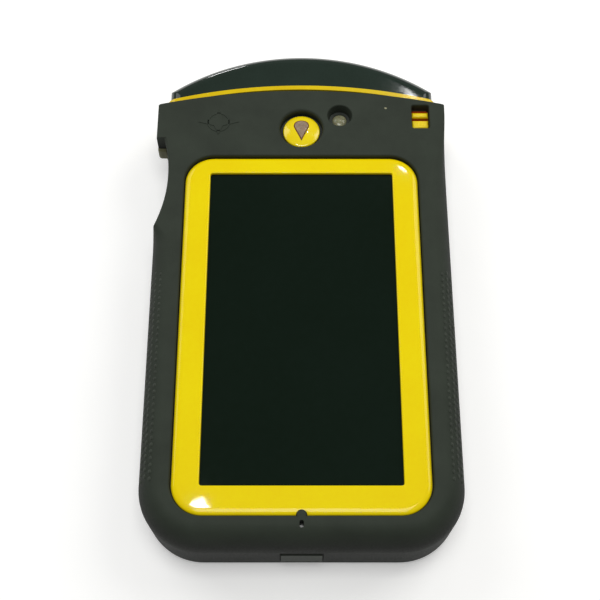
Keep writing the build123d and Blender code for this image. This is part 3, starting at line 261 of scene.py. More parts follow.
def raiseFace(bm, face, height):
    # pulls a flat face up into a block and hands back its new top and its old bottom
    made = bmesh.ops.extrude_face_region(bm, geom=[face])
    top = [g for g in made["geom"] if isinstance(g, bmesh.types.BMFace)][0]
    bmesh.ops.translate(bm, vec=(0, 0, height), verts=list(top.verts))
    bmesh.ops.recalc_face_normals(bm, faces=bm.faces[:])
    return top, face


def stepFace(bm, face, steps):
    # insets a face step by step, each (inward, along its normal): this rounds an edge
    for inward, along in steps:
        bmesh.ops.inset_region(bm, faces=[face], thickness=inward, depth=along,
                               use_even_offset=True, use_boundary=True)


def roundedSteps(width, height, count):
    # a quarter of an ellipse that leaves the wall upright and arrives flat
    steps = []
    for i in range(count):
        low, high = (math.pi / 2 * k / count for k in (i, i + 1))
        steps.append((width * (math.cos(low) - math.cos(high)), height * (math.sin(high) - math.sin(low))))
    return steps


def flaredSteps(width, height, count):
    # the same quarter seen from the hole: it starts flat and ends upright
    return list(reversed(roundedSteps(width, height, count)))


def rectangle(width, length, middle):
    x, y = middle[0], middle[1]
    return [(x - width / 2, y - length / 2), (x + width / 2, y - length / 2),
            (x + width / 2, y + length / 2), (x - width / 2, y + length / 2)]


def circleFace(bm, radius, middle, z, segments):
    made = bmesh.ops.create_circle(bm, cap_ends=True, radius=radius, segments=segments,
                                   matrix=Matrix.Translation((middle[0], middle[1], z)))
    return made["verts"][0].link_faces[0]


def meshObject(name, bm):
    mesh = bpy.data.meshes.new(name)
    bm.to_mesh(mesh)
    bm.free()
    piece = bpy.data.objects.new(name, mesh)
    bpy.context.scene.collection.objects.link(piece)
    return piece


def applyModifiers(piece):
    bpy.context.view_layer.update()
    graph = bpy.context.evaluated_depsgraph_get()
    finished = bpy.data.meshes.new_from_object(piece.evaluated_get(graph))
    piece.modifiers.clear()
    piece.data = finished


def combine(piece, cutters, operation="DIFFERENCE"):
    # cuts away, adds or keeps what the other meshes hold, one after the other
    for cutter in cutters:
        change = piece.modifiers.new("change", "BOOLEAN")
        change.operation = operation
        change.solver = "EXACT"
        change.object = cutter
        applyModifiers(piece)
        bpy.data.objects.remove(cutter)
        tidied = bmesh.new()
        tidied.from_mesh(piece.data)
        bmesh.ops.remove_doubles(tidied, verts=tidied.verts[:], dist=2e-6)
        bmesh.ops.dissolve_degenerate(tidied, dist=2e-6, edges=tidied.edges[:])
        tidied.to_mesh(piece.data)
        tidied.free()
    return piece


def corners(low, high):
    return [(low[0], low[1]), (high[0], low[1]), (high[0], high[1]), (low[0], high[1])]


def block(low, high):
    # a plain cutting block between two corners
    bm = bmesh.new()
    raiseFace(bm, polygonFace(bm, corners(low, high), low[2]), high[2] - low[2])
    return meshObject("block", bm)


def disc(radius, middle, low, high, segments=96):
    bm = bmesh.new()
    raiseFace(bm, circleFace(bm, radius, middle, low, segments), high - low)
    return meshObject("disc", bm)


def mouthPlug(outline, radius, z, depth, flare, segments=12):
    # a plug for a moulded opening: rounded corners, and a mouth that widens to the surface at z
    bm = bmesh.new()
    face = polygonFace(bm, outline, z)
    if radius:
        face = roundCorners(bm, bm.verts[:], radius, segments)
    top, mouth = raiseFace(bm, face, 2 * mm)
    stepFace(bm, mouth, flaredSteps(flare, flare, 5) + [(0.0, depth - flare)])
    return meshObject("plug", bm)


def roundPlug(radius, middle, z, depth, flare, lowRadius=None, segments=96):
    # the same for a round hole, which may narrow on its way down
    bm = bmesh.new()
    top, mouth = raiseFace(bm, circleFace(bm, radius + flare, middle, z, segments), 2 * mm)
    narrowing = radius - (lowRadius or radius)
    stepFace(bm, mouth, flaredSteps(flare, flare, 5) + [(narrowing, depth - flare)])
    return meshObject("plug", bm)


def stepped(start, steps, way):
    # points of a profile that leaves start and takes each step, outward (1) or inward (-1)
    points = [start]
    for across, along in steps:
        points.append((points[-1][0] + way * across, points[-1][1] + along))
    return points


def spun(name, profile, middle, steps=96):
    # turns a profile of (radius, height) round an upright line through middle
    bm = bmesh.new()
    verts = [bm.verts.new((middle[0] + radius, middle[1], z)) for radius, z in profile]
    edges = [bm.edges.new(pair) for pair in zip(verts, verts[1:])]
    bmesh.ops.spin(bm, geom=verts + edges, cent=(middle[0], middle[1], 0), axis=(0, 0, 1),
                   angle=2 * math.pi, steps=steps, use_merge=True)
    bmesh.ops.remove_doubles(bm, verts=bm.verts[:], dist=1e-6)
    bmesh.ops.recalc_face_normals(bm, faces=bm.faces[:])
    return meshObject(name, bm)


def bevelEdges(piece, chosen, width, segments):
    # rounds the edges of a finished shape that a test picks out
    bm = bmesh.new()
    bm.from_mesh(piece.data)
    edges = [e for e in bm.edges if len(e.link_faces) == 2 and chosen(e)]
    bmesh.ops.bevel(bm, geom=edges, offset=width, segments=segments, profile=0.5,
                    affect="EDGES", clamp_overlap=True, material=-1)
    bm.to_mesh(piece.data)
    bm.free()
    return piece


def finish(piece, material, body, nodes=(), sharp=35):
    # last steps for every new piece: shading, finish, and the body that it rides on
    mesh = piece.data
    mesh.materials.clear()
    mesh.materials.append(material)
    for face in mesh.polygons:
        face.use_smooth = True
        face.material_index = 0
    mesh.set_sharp_from_angle(angle=math.radians(sharp))
    weighted = piece.modifiers.new("weighted", "WEIGHTED_NORMAL")
    weighted.keep_sharp = True
    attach(piece, body)
    if nodes:
        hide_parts(*nodes)
    return piece


def softened(node, name, body, width, segments=2, sharp=32):
    # a copy of a part with its edges eased, as they leave the mould or the tool
    bm = bmesh.new()
    bm.from_mesh(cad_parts[node].data)
    bmesh.ops.remove_doubles(bm, verts=bm.verts[:], dist=2e-6)
    bmesh.ops.dissolve_limit(bm, angle_limit=math.radians(1.0), verts=bm.verts[:], edges=bm.edges[:])
    bmesh.ops.recalc_face_normals(bm, faces=bm.faces[:])
    edges = [e for e in bm.edges if len(e.link_faces) == 2 and e.calc_face_angle() > math.radians(sharp)]
    bmesh.ops.bevel(bm, geom=edges, offset=width, segments=segments, profile=0.5,
                    affect="EDGES", clamp_overlap=True, material=-1)
    return finish(meshObject(name, bm), finishes[slotOf[node]], body, (node,), sharp=40)


# rubber boot, in millimetres
boot = {"belt": 18.0, "slopeWidth": 7.2, "slopeSteps": 14, "tailCorner": 20.0, "cornerSteps": 28,
        "draft": 0.66, "backEdge": 3.0, "wall": 3.7, "headRadius": 225.0, "headDrop": 19.1,
        "scallopRadius": 55.0, "scallopAt": (-101.25, 38.5), "scallopEdges": 1.0, "scallopHead": 53.2,
        "shoulderEdge": 0.9, "shoulderLeft": (10.0, 22.0), "shoulderRight": (32.0, 66.0),
        "headEdge": 0.5, "headCorner": 1.2,
        "bezelCorner": 9.75, "bezelGap": 0.35, "bezelFlare": 0.7, "buttonGap": 1.05, "buttonFlare": 1.0,
        "sensorTop": 4.3, "sensorLow": 3.1, "windowFlare": 0.5, "windowGap": 0.15, "collar": 1.4,
        "micHole": (1.3, 2.1), "micFromTail": 6.4, "micFlare": 0.15, "holeDepth": 6.0,
        "pad": (79.6, 140.6), "padCorner": 10.3, "padY": -10.0, "cavityFloor": 2.0,
        "shoulderCuts": (12, 72, 3), "keyStep": 0.9, "keyReach": (-0.8, 3.7), "keyGap": 0.25,
        "flapSlot": (5.4, 16.0), "flapGap": 0.25}
pastHead, pastTail = 0.13, -0.11  # metres: where outlines and cutters end, well outside the object
belt = boot["belt"] * mm
halfWidth = bootHigh.x
frontTop = bootHigh.z - 0.3 * mm  # the boot's front, without the raised mark
slope = roundedSteps(boot["slopeWidth"] * mm, frontTop - belt, boot["slopeSteps"])
backEdge = roundedSteps(boot["backEdge"] * mm, boot["backEdge"] * mm, 7)


def insetAt(z):
    # how far the scallop's wall stands in from its line at a height
    edge = boot["scallopEdges"] * mm
    if z >= belt:
        share = min(1.0, max(0.0, (z - frontTop + edge) / edge))
        return edge * (1 - math.sqrt(1 - share * share))
    edge = boot["backEdge"] * mm
    drafted = boot["draft"] * mm * min(1.0, (belt - z) / (belt - edge))
    if z > edge:
        return drafted
    share = (edge - max(z, 0.0)) / edge
    return drafted + edge * (1 - math.sqrt(1 - share * share))


def shoulderShare(x, y):
    # 0 where the side slopes to the front, 1 where it stands square, with a smooth change between
    start, end = (v * mm for v in boot["shoulderLeft" if x < 0 else "shoulderRight"])
    share = min(1.0, max(0.0, (y - start) / (end - start)))
    return share * share * (3 - 2 * share)


def squareShoulders(bm):
    # towards the head, and beside the scallop, the slope gives way to an upright side
    for y in range(*boot["shoulderCuts"]):
        bmesh.ops.bisect_plane(bm, geom=bm.verts[:] + bm.edges[:] + bm.faces[:],
                               plane_co=(0, y * mm, 0), plane_no=(0, 1, 0))
    edge, width = boot["shoulderEdge"] * mm, boot["slopeWidth"] * mm
    for vert in bm.verts:
        share = shoulderShare(vert.co.x, vert.co.y)
        if share == 0 or vert.co.z < belt + 0.01 * mm:
            continue
        turn = math.asin(min(1.0, (vert.co.z - belt) / (frontTop - belt)))
        along = turn / (math.pi / 2)
        curl = max(0.0, 2 * along - 1) * math.pi / 2
        upright = belt + (frontTop - edge - belt) * min(1.0, 2 * along) + edge * math.sin(curl)
        inset = (1 - share) * width * (1 - math.cos(turn)) + share * edge * (1 - math.cos(curl))
        vert.co.x = math.copysign(halfWidth - inset, vert.co.x)
        vert.co.z = (1 - share) * vert.co.z + share * upright


bm = bmesh.new()
tailY = bootLow.y
polygonFace(bm, corners((-halfWidth, tailY), (halfWidth, pastHead)), belt - 0.05 * mm)
face = roundCorners(bm, [v for v in bm.verts if v.co.y < 0], boot["tailCorner"] * mm, boot["cornerSteps"])
top, bottom = raiseFace(bm, face, 0.05 * mm)
stepFace(bm, top, slope)
stepFace(bm, bottom, [(boot["draft"] * mm, belt - (boot["backEdge"] + 0.05) * mm)] + backEdge)
squareShoulders(bm)
bootPiece = meshObject("boot", bm)

scallopMiddle = (boot["scallopAt"][0] * mm, boot["scallopAt"][1] * mm)
scallopRadius = boot["scallopRadius"] * mm
wall = boot["wall"] * mm
scallopZ = [-3.0, 0.07, 0.4, 0.9, 1.6, 2.4, 3.3, 9.1, 17.3, 27.03, 27.37, 27.66, 27.85, 27.97, 40.0]
profile = [(0, -3 * mm)] + [(scallopRadius + insetAt(z * mm), z * mm) for z in scallopZ] + [(0, 40 * mm)]
scallop = spun("scallop", profile, scallopMiddle, 240)
# towards the head the scallop ends in a step, from just above the side key's foot upwards
stepLow = (-0.12, boot["scallopHead"] * mm, keyLow.z + boot["keyStep"] * mm)
combine(scallop, [block(stepLow, (0.02, 0.12, 0.05))])
combine(bootPiece, [scallop])


def onScallopCorner(edge):
    # the upright corner where the scallop's wall meets the side towards the tail
    ends = [v.co for v in edge.verts]
    nearSide = all(p.x < -halfWidth + 9 * mm and 0 < p.y < 30 * mm and 0.2 * mm < p.z < 26 * mm
                   for p in ends)
    upright = abs(ends[0].z - ends[1].z) > 0.1 * mm
    return nearSide and upright and edge.calc_face_angle() > math.radians(18)


headMiddle = (0, cadBox[1][1] - (boot["headDrop"] + boot["headRadius"]) * mm)
headRadius = boot["headRadius"] * mm
combine(bootPiece, [disc(headRadius, headMiddle, -10 * mm, 50 * mm, 1080)], "INTERSECT")


def onHeadCorner(edge):
    # the two upright corners where the boot's sides meet its head end
    ends = [v.co for v in edge.verts]
    atCorner = all(abs(p.x) > halfWidth - 1.2 * mm and p.y > 70 * mm and p.z > 3.2 * mm for p in ends)
    return atCorner and abs(ends[0].z - ends[1].z) > 0.1 * mm and edge.calc_face_angle() > math.radians(45)


def onHeadEdge(edge):
    # the long front edge over the head, where the boot meets the trim bead
    ends = [v.co for v in edge.verts]
    onArc = all(abs(math.hypot(p.x - headMiddle[0], p.y - headMiddle[1]) - headRadius) < 0.05 * mm
                for p in ends)
    return onArc and all(p.z > frontTop - 0.02 * mm for p in ends)


print("boot: outline, scallop and head edge")

bm = bmesh.new()
cavityFloor = boot["cavityFloor"] * mm
polygonFace(bm, corners((-halfWidth + wall, tailY + wall), (halfWidth - wall, 0.2)), cavityFloor)
face = roundCorners(bm, [v for v in bm.verts if v.co.y < 0], boot["tailCorner"] * mm - wall, 16)
raiseFace(bm, face, frontZ - cavityFloor)
cavity = meshObject("cavity", bm)
combine(cavity, [disc(scallopRadius + wall, scallopMiddle, -5 * mm, 40 * mm, 180)])
combine(bootPiece, [cavity])

gap = boot["bezelGap"] * mm
flare = boot["bezelFlare"] * mm
bezelSize = (bezelHigh.x - bezelLow.x, bezelHigh.y - bezelLow.y)
bezelCorner = boot["bezelCorner"] * mm
holeDepth = boot["holeDepth"] * mm
bezelMouth = mouthPlug(rectangle(bezelSize[0] + 2 * (gap + flare), bezelSize[1] + 2 * (gap + flare),
                                 bezelMiddle), bezelCorner + gap + flare, frontTop, holeDepth, flare, 20)
collarAt = (0, bezelLow.y)
combine(bezelMouth, [disc(boot["collar"] * mm, collarAt, 0, 60 * mm, 48)])
buttonRadius = 6.5 * mm
anchorSize = (anchorHigh.x - anchorLow.x, anchorHigh.y - anchorLow.y)
windowFlare = boot["windowFlare"] * mm
windowGap = (boot["windowGap"] + boot["windowFlare"]) * mm
keyGap, flapGap = boot["keyGap"] * mm, boot["flapGap"] * mm
sideKeyLow, sideKeyHigh = keyLow.copy(), keyHigh.copy()
sideKeyLow.y, sideKeyHigh.y = ((boot["scallopHead"] + reach) * mm for reach in boot["keyReach"])
micFlare = boot["micFlare"] * mm
micWidth, micLength = (v * mm + 2 * micFlare for v in boot["micHole"])
micAt = (0, tailY + boot["micFromTail"] * mm)
holes = [
    bezelMouth,
    roundPlug(buttonRadius + boot["buttonGap"] * mm, buttonMiddle, frontTop, holeDepth,
              boot["buttonFlare"] * mm),
    roundPlug(boot["sensorTop"] * mm, sensorMiddle, frontTop, holeDepth, 0.5 * mm, boot["sensorLow"] * mm),
    roundPlug(0.45 * mm, pipeMiddle, frontTop, holeDepth, 0.1 * mm, segments=24),
    mouthPlug(rectangle(anchorSize[0] + 2 * windowGap, anchorSize[1] + 2 * windowGap, anchorMiddle),
              0.8 * mm + windowFlare, frontTop, holeDepth, windowFlare, 8),
    mouthPlug(rectangle(micWidth, micLength, micAt), 0.75 * mm, frontTop, holeDepth, micFlare, 6),
    block((keyLow.x - 1 * mm, sideKeyLow.y - keyGap, sideKeyLow.z - keyGap),
          (-halfWidth + wall + 1 * mm, sideKeyHigh.y + keyGap, sideKeyHigh.z + keyGap)),
    block((flapLow.x - flapGap, pastTail, boot["flapSlot"][0] * mm),
          (flapHigh.x + flapGap, tailY + wall + 0.5 * mm, boot["flapSlot"][1] * mm)),
]
combine(bootPiece, holes)
# the opening in the back, where the case's pad shows
padWidth, padLength = (v * mm for v in boot["pad"])
padOutline = rectangle(padWidth, padLength, (0, boot["padY"] * mm))
combine(bootPiece, [mouthPlug(padOutline, boot["padCorner"] * mm, 3 * mm, holeDepth, 0.01 * mm)])
bevelEdges(bootPiece, onScallopCorner, boot["scallopEdges"] * mm, 4)
bevelEdges(bootPiece, onHeadCorner, boot["headCorner"] * mm, 4)
bevelEdges(bootPiece, onHeadEdge, boot["headEdge"] * mm, 3)
finish(bootPiece, siliconeRubber, "case", ("rubber_boot",), sharp=38)
print("boot: cavity and openings")

# raised grip dots down both front slopes, half sunk in the rubber
grip = {"rows": 33, "pitch": 2.2, "firstY": -71.0, "angles": (34, 50, 66), "size": (0.62, 0.75, 0.3)}
dotSize = Matrix.Diagonal([v * mm for v in grip["size"]] + [1])
bm = bmesh.new()
for side in (-1, 1):
    for column, degree in enumerate(grip["angles"]):
        angle = math.radians(degree)
        inset = boot["slopeWidth"] * mm * (1 - math.cos(angle))
        height = belt + (frontTop - belt) * math.sin(angle)
        lean = math.atan2(math.cos(angle) / (boot["slopeWidth"] * mm), math.sin(angle) / (frontTop - belt))
        for row in range(grip["rows"]):
            y = (grip["firstY"] + (row + 0.5 * (column % 2)) * grip["pitch"]) * mm
            place = Matrix.Translation((side * (halfWidth - inset), y, height))
            place = place @ Matrix.Rotation(side * lean, 4, "Y") @ dotSize
            bmesh.ops.create_uvsphere(bm, u_segments=10, v_segments=6, radius=1.0, matrix=place)
finish(meshObject("boot_grip_dots", bm), gripRubber, "case")

# moulded mark: a plain compass star in a ring, hardly raised
mark = {"at": (-29.3, 59.5), "across": 7.4, "along": 5.4, "waist": 2.3, "ring": 3.7, "ringWidth": 1.0}
markAt = (mark["at"][0] * mm, mark["at"][1] * mm)
bm = bmesh.new()
circleFace(bm, mark["waist"] * mm, markAt, frontTop - 0.1 * mm, 8)
for vert in bm.verts:
    away = vert.co - Vector((markAt[0], markAt[1], vert.co.z))
    if abs(away.y) < 1e-5:
        vert.co += away.normalized() * (mark["across"] - mark["waist"]) * mm
    elif abs(away.x) < 1e-5:
        vert.co += away.normalized() * (mark["along"] - mark["waist"]) * mm
bm.faces.ensure_lookup_table()
top, bottom = raiseFace(bm, bm.faces[0], 0.15 * mm)
bmesh.ops.inset_region(bm, faces=[top], thickness=0.12 * mm, depth=0.15 * mm, use_even_offset=True)
star = meshObject("boot_mark_star", bm)
ringRadius, ringHalf = mark["ring"] * mm, mark["ringWidth"] / 2 * mm
ringFoot, ringTop = frontTop - 0.1 * mm, frontTop + 0.2 * mm
ring = spun("boot_mark_ring", [(ringRadius - ringHalf, ringFoot), (ringRadius - ringHalf / 2, ringTop),
                               (ringRadius + ringHalf / 2, ringTop), (ringRadius + ringHalf, ringFoot),
                               (ringRadius - ringHalf, ringFoot)], markAt, 64)
for piece in (star, ring):
    finish(piece, siliconeRubber, "case")
print("boot: grip dots and mark")

# display frame: rounded outer edge, eased inner lip, and the skirt that holds the glass
frameShape = {"window": (63.0, 112.0), "outerEdge": (2.2, 0.8), "lip": 0.45, "skirt": 2.4,
              "windowCorner": 0.8, "notch": 1.75}
bm = bmesh.new()
polygonFace(bm, rectangle(bezelSize[0], bezelSize[1], bezelMiddle), frontZ)
face = roundCorners(bm, bm.verts[:], bezelCorner, 20)
edgeWidth, edgeHeight = (v * mm for v in frameShape["outerEdge"])
top, bottom = raiseFace(bm, face, bezelHigh.z - frontZ - edgeHeight)
stepFace(bm, top, roundedSteps(edgeWidth, edgeHeight, 8))
displayFrame = meshObject("display_frame", bm)
skirt = frameShape["skirt"] * mm
combine(displayFrame, [block((glassLow.x - skirt, glassLow.y - skirt, bezelLow.z),
                             (glassHigh.x + skirt, glassHigh.y + skirt, frontZ + 0.5 * mm))], "UNION")
lip = frameShape["lip"] * mm
lipOutline = rectangle(*[v * mm + 2 * lip for v in frameShape["window"]], glassMiddle)
combine(displayFrame, [
    block((glassLow.x - 0.1 * mm, glassLow.y - 0.1 * mm, bezelLow.z - 2 * mm),
          (glassHigh.x + 0.1 * mm, glassHigh.y + 0.1 * mm, glassHigh.z + 0.005 * mm)),
    mouthPlug(lipOutline, frameShape["windowCorner"] * mm + lip, bezelHigh.z, 3 * mm, lip, 8),
    disc(frameShape["notch"] * mm, collarAt, frontZ, 60 * mm, 48),
])
finish(displayFrame, yellowFrame, "case", ("front_bezel",), sharp=40)
print("display frame made")

# antenna dome: rolled front edge on the head arc and both sides, hollow inside
dome = {"radius": 79.5, "roll": (5.6, 6.0), "sideRoll": 4.0, "backRoll": (3.0, 3.5), "wall": 2.2}
bead = {"radius": 180.0, "width": 1.7, "headDrop": 16.6, "cornerRoll": 2.6, "backCorner": 3.6,
        "round": 0.6, "hollow": (45.3, 4.0, 22.5)}
trimRadius, trimWidth = bead["radius"] * mm, bead["width"] * mm
trimMiddle = (0, cadBox[1][1] - bead["headDrop"] * mm - trimRadius)
archLength = 60 * mm


def archBlock(width, low, high, frontRoll, backRoll):
    # a block as wide as the case whose long edges are rolled, seen from the head end
    bm = bmesh.new()
    polygonFace(bm, rectangle(width, high - low, (0, (high + low) / 2)), 0)
    roundCorners(bm, [v for v in bm.verts if v.co.y > low + 1 * mm], frontRoll, 14)
    roundCorners(bm, [v for v in bm.verts if v.co.y < low + 1e-6], backRoll, 8)
    raiseFace(bm, bm.faces[0], archLength)
    turn = Matrix.Translation((0, -pastTail, 0)) @ Matrix.Rotation(math.radians(90), 4, "X")
    bmesh.ops.transform(bm, matrix=turn, verts=bm.verts[:])
    return meshObject("arch", bm)


domeMiddle = (0, domeHigh.y - dome["radius"] * mm)
domeRadius = dome["radius"] * mm
backWidth, backHeight = (v * mm for v in dome["backRoll"])
rollWidth, rollHeight = (v * mm for v in dome["roll"])
profile = [(0, domeLow.z)]
profile += stepped((domeRadius - backWidth, domeLow.z), reversed(roundedSteps(backWidth, backHeight, 7)), 1)
profile += stepped((domeRadius, domeHigh.z - rollHeight), roundedSteps(rollWidth, rollHeight, 12), -1)
profile.append((0, domeHigh.z))
domePiece = spun("antenna_cap", profile, domeMiddle, 480)
combine(domePiece, [archBlock(2 * domeHigh.x, domeLow.z - 0.01 * mm, domeHigh.z + 0.01 * mm,
                              dome["sideRoll"] * mm, backWidth)], "INTERSECT")
domeWall = dome["wall"] * mm
hollow = block((domeLow.x + domeWall, 0.03, domeLow.z + domeWall),
               (domeHigh.x - domeWall, 0.1, domeHigh.z - 1.4 * domeWall))
combine(hollow, [disc(domeRadius - 1.5 * domeWall, domeMiddle, -10 * mm, 50 * mm, 240)], "INTERSECT")
combine(domePiece, [hollow, disc(trimRadius + trimWidth / 2, trimMiddle, -10 * mm, 50 * mm, 1440)])
finish(domePiece, radomePlastic, "case", ("antenna_dome",), sharp=40)
print("antenna cap made")

# yellow bead between boot and dome: rounded in section, and over its front corners
beadPiece = archBlock(trimHigh.x - trimLow.x, trimLow.z, trimHigh.z, bead["cornerRoll"] * mm,
                      bead["backCorner"] * mm)
beadPiece.name = "trim_bead"
combine(beadPiece, [disc(trimRadius + trimWidth / 2, trimMiddle, -10 * mm, 50 * mm, 1440)], "INTERSECT")
combine(beadPiece, [disc(trimRadius - trimWidth / 2, trimMiddle, -10 * mm, 50 * mm, 1440)])
bevelEdges(beadPiece, lambda e: e.calc_face_angle() > math.radians(60), bead["round"] * mm, 4)
hollowSide, hollowLow, hollowHigh = (v * mm for v in bead["hollow"])
combine(beadPiece, [block((-hollowSide, 0.05, hollowLow), (hollowSide, 0.09, hollowHigh))])
finish(beadPiece, yellowBead, "case", ("accent_trim",), sharp=50)
print("trim bead made")

# home key: crowned cap with a rounded rim, its stem, and the teardrop window let into it
key = {"crown": 0.8, "rim": 0.6, "rimDrop": 0.25, "stem": 3.0, "capDepth": 1.45,
       "drop": 2.6, "dropLength": 8.6, "dropDepth": 0.75, "dropEdge": 0.4}
capTop = buttonHigh.z
capLow = capTop - key["capDepth"] * mm
crown, rim, stem = key["crown"] * mm, key["rim"] * mm, key["stem"] * mm
rimFoot = capTop - crown - key["rimDrop"] * mm
profile = [(0, buttonLow.z), (stem, buttonLow.z), (stem, capLow), (buttonRadius, capLow),
           (buttonRadius, rimFoot)]
for i in range(1, 6):
    angle = math.pi / 2 * i / 6
    profile.append((buttonRadius - rim * (1 - math.cos(angle)), rimFoot + rim * 0.8 * math.sin(angle)))
for i in range(1, 15):
    share = 1 - i / 14
    profile.append(((buttonRadius - rim) * share, capTop - (crown - key["rimDrop"] * mm) * share ** 2))
capPiece = spun("home_key_cap", profile, buttonMiddle)


def teardrop(name, shrink, low, high):
    # round towards the head, pointed towards the tail, with an eased top edge
    tip, half = (key["dropLength"] - key["drop"]) * mm, key["drop"] * mm
    slant = math.asin(half / tip)
    reach = (half + tip) * math.tan(slant)
    middle = (buttonMiddle.x, buttonMiddle.y + key["dropLength"] * mm / 2 - half)
    bm = bmesh.new()
    polygonFace(bm, [(middle[0] - reach, middle[1] + half), (middle[0], middle[1] - tip),
                     (middle[0] + reach, middle[1] + half)], low)
    bm.verts.ensure_lookup_table()
    face = roundCorners(bm, [bm.verts[0], bm.verts[2]], reach * 0.999, 14)
    top, bottom = raiseFace(bm, face, high - low - shrink * 0.4)
    if shrink:
        stepFace(bm, top, [(shrink * 0.25, shrink * 0.3), (shrink * 0.5, shrink * 0.1)])
        there = Matrix.Translation((middle[0], middle[1], 0))
        scale = there @ Matrix.Diagonal((1 - shrink / half, 1 - shrink / half, 1, 1)) @ there.inverted()
        bmesh.ops.transform(bm, matrix=scale, verts=bm.verts[:])
    return meshObject(name, bm)


dropFloor = capTop - key["dropDepth"] * mm
combine(capPiece, [teardrop("pocket", 0, dropFloor, capTop + 1 * mm)])
finish(capPiece, yellowKey, "home_key", ("home_button",), sharp=40)
# painted shade: a dark brown plate under the window shows as a ring in the gap round it
edgePiece = teardrop("home_key_window_shade_ring", 0, dropFloor, dropFloor + 0.45 * mm)
finish(edgePiece, brownShadeRing, "home_key")
lensPiece = teardrop("home_key_window", key["dropEdge"] * mm, dropFloor, capTop + 0.05 * mm)
finish(lensPiece, smokedWindow, "home_key", ("button_window",))
print("home key made")

# light sensor: domed lens down in the rubber cone, and a yellow ring at its rim, a painted reflection in
# place of the glint on the lens edge
lens = {"radius": 2.6, "rise": 1.0, "rim": 0.28}
lensTop, lensRadius = sensorHigh.z, lens["radius"] * mm
profile = [(0, sensorLow.z), (lensRadius, sensorLow.z), (lensRadius, lensTop - lens["rise"] * mm)]
for i in range(1, 13):
    angle = math.pi / 2 * i / 12
    profile.append((lensRadius * math.cos(angle) if i < 12 else 0,
                    lensTop - lens["rise"] * mm * (1 - math.sin(angle))))
finish(spun("sensor_dome", profile, sensorMiddle, 64), diffusingLens, "case", ("sensor_lens",))
# painted reflection: the rim ring stands in for the yellowish glint on the lens edge, and takes the anchor's
# yellow with its painted shade
rimZ, rimWidth = lensTop - lens["rise"] * mm, lens["rim"] * mm
profile = [(lensRadius + rimWidth * (1 + math.cos(2 * math.pi * i / 12)) / 2 + 0.02 * mm,
            rimZ + rimWidth * math.sin(2 * math.pi * i / 12)) for i in range(13)]
finish(spun("sensor_rim_painted_glint", profile, sensorMiddle, 64), yellowAnchor, "case")

# cord anchor, side key and port flap
anchor = {"bars": ((2.8, 2.1), (6.8, 3.4)), "barTop": 0.3, "floor": 2.3, "round": 0.7, "corner": 0.8}
bm = bmesh.new()
polygonFace(bm, rectangle(anchorSize[0], anchorSize[1], anchorMiddle), anchorLow.z)
face = roundCorners(bm, bm.verts[:], anchor["corner"] * mm, 6)
raiseFace(bm, face, anchorHigh.z - anchorLow.z - anchor["floor"] * mm)
anchorPiece = meshObject("cord_anchor", bm)
bars = []
for fromHead, barWidth in anchor["bars"]:
    barTail = anchorHigh.y - (fromHead + barWidth / 2) * mm
    bar = block((anchorLow.x, barTail, anchorLow.z + 0.5 * mm),
                (anchorHigh.x, barTail + barWidth * mm, anchorHigh.z - anchor["barTop"] * mm))
    bevelEdges(bar, lambda e: all(v.co.z > anchorHigh.z - 1 * mm for v in e.verts), anchor["round"] * mm, 5)
    bars.append(bar)
combine(anchorPiece, bars, "UNION")
finish(anchorPiece, yellowAnchor, "case", ("lanyard_anchor",), sharp=40)
sideKey = {"corner": 1.1, "straight": 1.9, "roll": (1.0, 1.2), "depth": 3.1, "stem": 1.0, "stemOff": 1.3}
bm = bmesh.new()
polygonFace(bm, corners((sideKeyLow.y, keyLow.z), (sideKeyHigh.y, keyHigh.z)), 0)
face = roundCorners(bm, bm.verts[:], sideKey["corner"] * mm, 6)
top, bottom = raiseFace(bm, face, sideKey["straight"] * mm)
stepFace(bm, top, roundedSteps(*[v * mm for v in sideKey["roll"]], 6))
stemStart, stemEnd = keyLow.x + sideKey["depth"] * mm, keyHigh.x - 0.1 * mm
stand = Matrix(((0, 0, -1, stemStart), (1, 0, 0, 0), (0, 1, 0, 0), (0, 0, 0, 1)))
bmesh.ops.transform(bm, matrix=stand, verts=bm.verts[:])
bmesh.ops.recalc_face_normals(bm, faces=bm.faces[:])
stemAt = ((stemStart + stemEnd) / 2, keyMiddle.y - sideKey["stemOff"] * mm, keyMiddle.z)
bmesh.ops.create_cone(bm, cap_ends=True, segments=32, radius1=sideKey["stem"] * mm,
                      radius2=sideKey["stem"] * mm, depth=stemEnd - stemStart,
                      matrix=Matrix.Translation(stemAt) @ Matrix.Rotation(math.radians(90), 4, "Y"))
finish(meshObject("side_key_cap", bm), keyRubber, "power_key", ("side_key",))
softened("port_flap", "charging_flap", "flap", 0.25 * mm)

# back: door, lock, grille and camera ring with their edges eased
softened("battery_door", "back_door", "door", 0.2 * mm)
softened("door_lock", "coin_lock", "lock", 0.15 * mm)
softened("speaker_grille", "sound_grille", "case", 0.12 * mm)
softened("camera_ring", "lens_ring", "case", 0.12 * mm)
print("small parts made")

# floor, camera and light
stage = {"floorSize": 6.0, "floorTones": ("#f2f2f1", "#f6f6f5")}
bm = bmesh.new()
bmesh.ops.create_grid(bm, x_segments=1, y_segments=1, size=stage["floorSize"] / 2,
                      matrix=Matrix.Translation((0, 0, -0.05 * mm)))
floor = meshObject("floor", bm)
floor.data.materials.append(surface("paperBoardPale", stage["floorTones"], (0.8, 0.9), 1.5, 0.01, 60.0,
                                    {"Specular IOR Level": 0.1, "Emission Color": (1, 1, 1, 1),
                                     "Emission Strength": 0.28}))

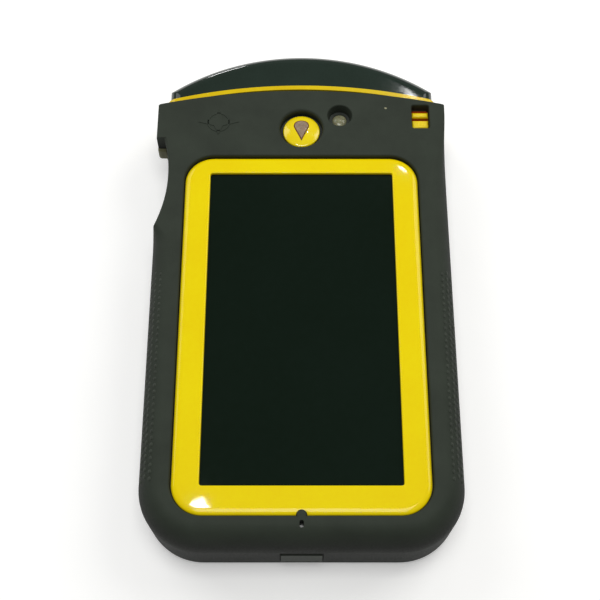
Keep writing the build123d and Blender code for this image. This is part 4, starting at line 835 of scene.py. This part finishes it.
cameraData = bpy.data.cameras.new("camera")
cameraData.lens = 71.2
cameraData.sensor_width = 36
camera = bpy.data.objects.new("camera", cameraData)
camera.location = (-0.0005, -0.1805, 0.3784)
camera.rotation_euler = (math.radians(25.88), 0, 0)
bpy.context.scene.collection.objects.link(camera)
bpy.context.scene.camera = camera
bpy.context.scene.view_settings.view_transform = "Standard"

world = bpy.data.worlds.new("studio")
bpy.context.scene.world = world
world.use_nodes = True
world.node_tree.nodes["Background"].inputs["Color"].default_value = (1.0, 1.0, 0.99, 1)
world.node_tree.nodes["Background"].inputs["Strength"].default_value = 0.20

lights = {
    "overhead": {"at": (0.0, -0.08, 1.1), "size": (0.46, 0.46), "power": 4.35, "tint": (1.0, 1.0, 0.99)},
    "headRight": {"at": (0.50, 0.36, 0.60), "size": (0.5, 0.5), "power": 2.4, "tint": (1.0, 0.99, 0.96)},
    "headLeft": {"at": (-0.55, 0.52, 0.60), "size": (0.6, 0.6), "power": 2.4, "tint": (1.0, 1.0, 1.0)},
    "domeGlint": {"at": (0.166, 0.848, 1.1), "size": (0.008, 0.050), "power": 0.10, "tint": (1.0, 1.0, 1.0)},
    "frameGlint": {"at": (0.150, 0.724, 1.1), "size": (0.016, 0.016), "power": 0.10, "tint": (1.0, 1.0, 1.0)},
    "tailGlint": {"at": (-0.124, 0.228, 1.1), "size": (0.018, 0.018), "power": 0.09, "tint": (1.0, 1.0, 1.0)},
    "rimGlint": {"at": (-0.23, 1.05, 0.17), "size": (0.12, 0.05), "power": 0.55, "tint": (1.0, 1.0, 1.0)},
}
for name, lamp in lights.items():
    data = bpy.data.lights.new(name, "AREA")
    data.shape = "RECTANGLE"
    data.size, data.size_y = lamp["size"]
    data.energy = lamp["power"]
    data.color = lamp["tint"]
    light = bpy.data.objects.new(name, data)
    light.location = lamp["at"]
    light.visible_camera = False
    light.rotation_euler = (-Vector(lamp["at"])).to_track_quat("-Z", "Y").to_euler()
    bpy.context.scene.collection.objects.link(light)
print("floor, camera and light ready")
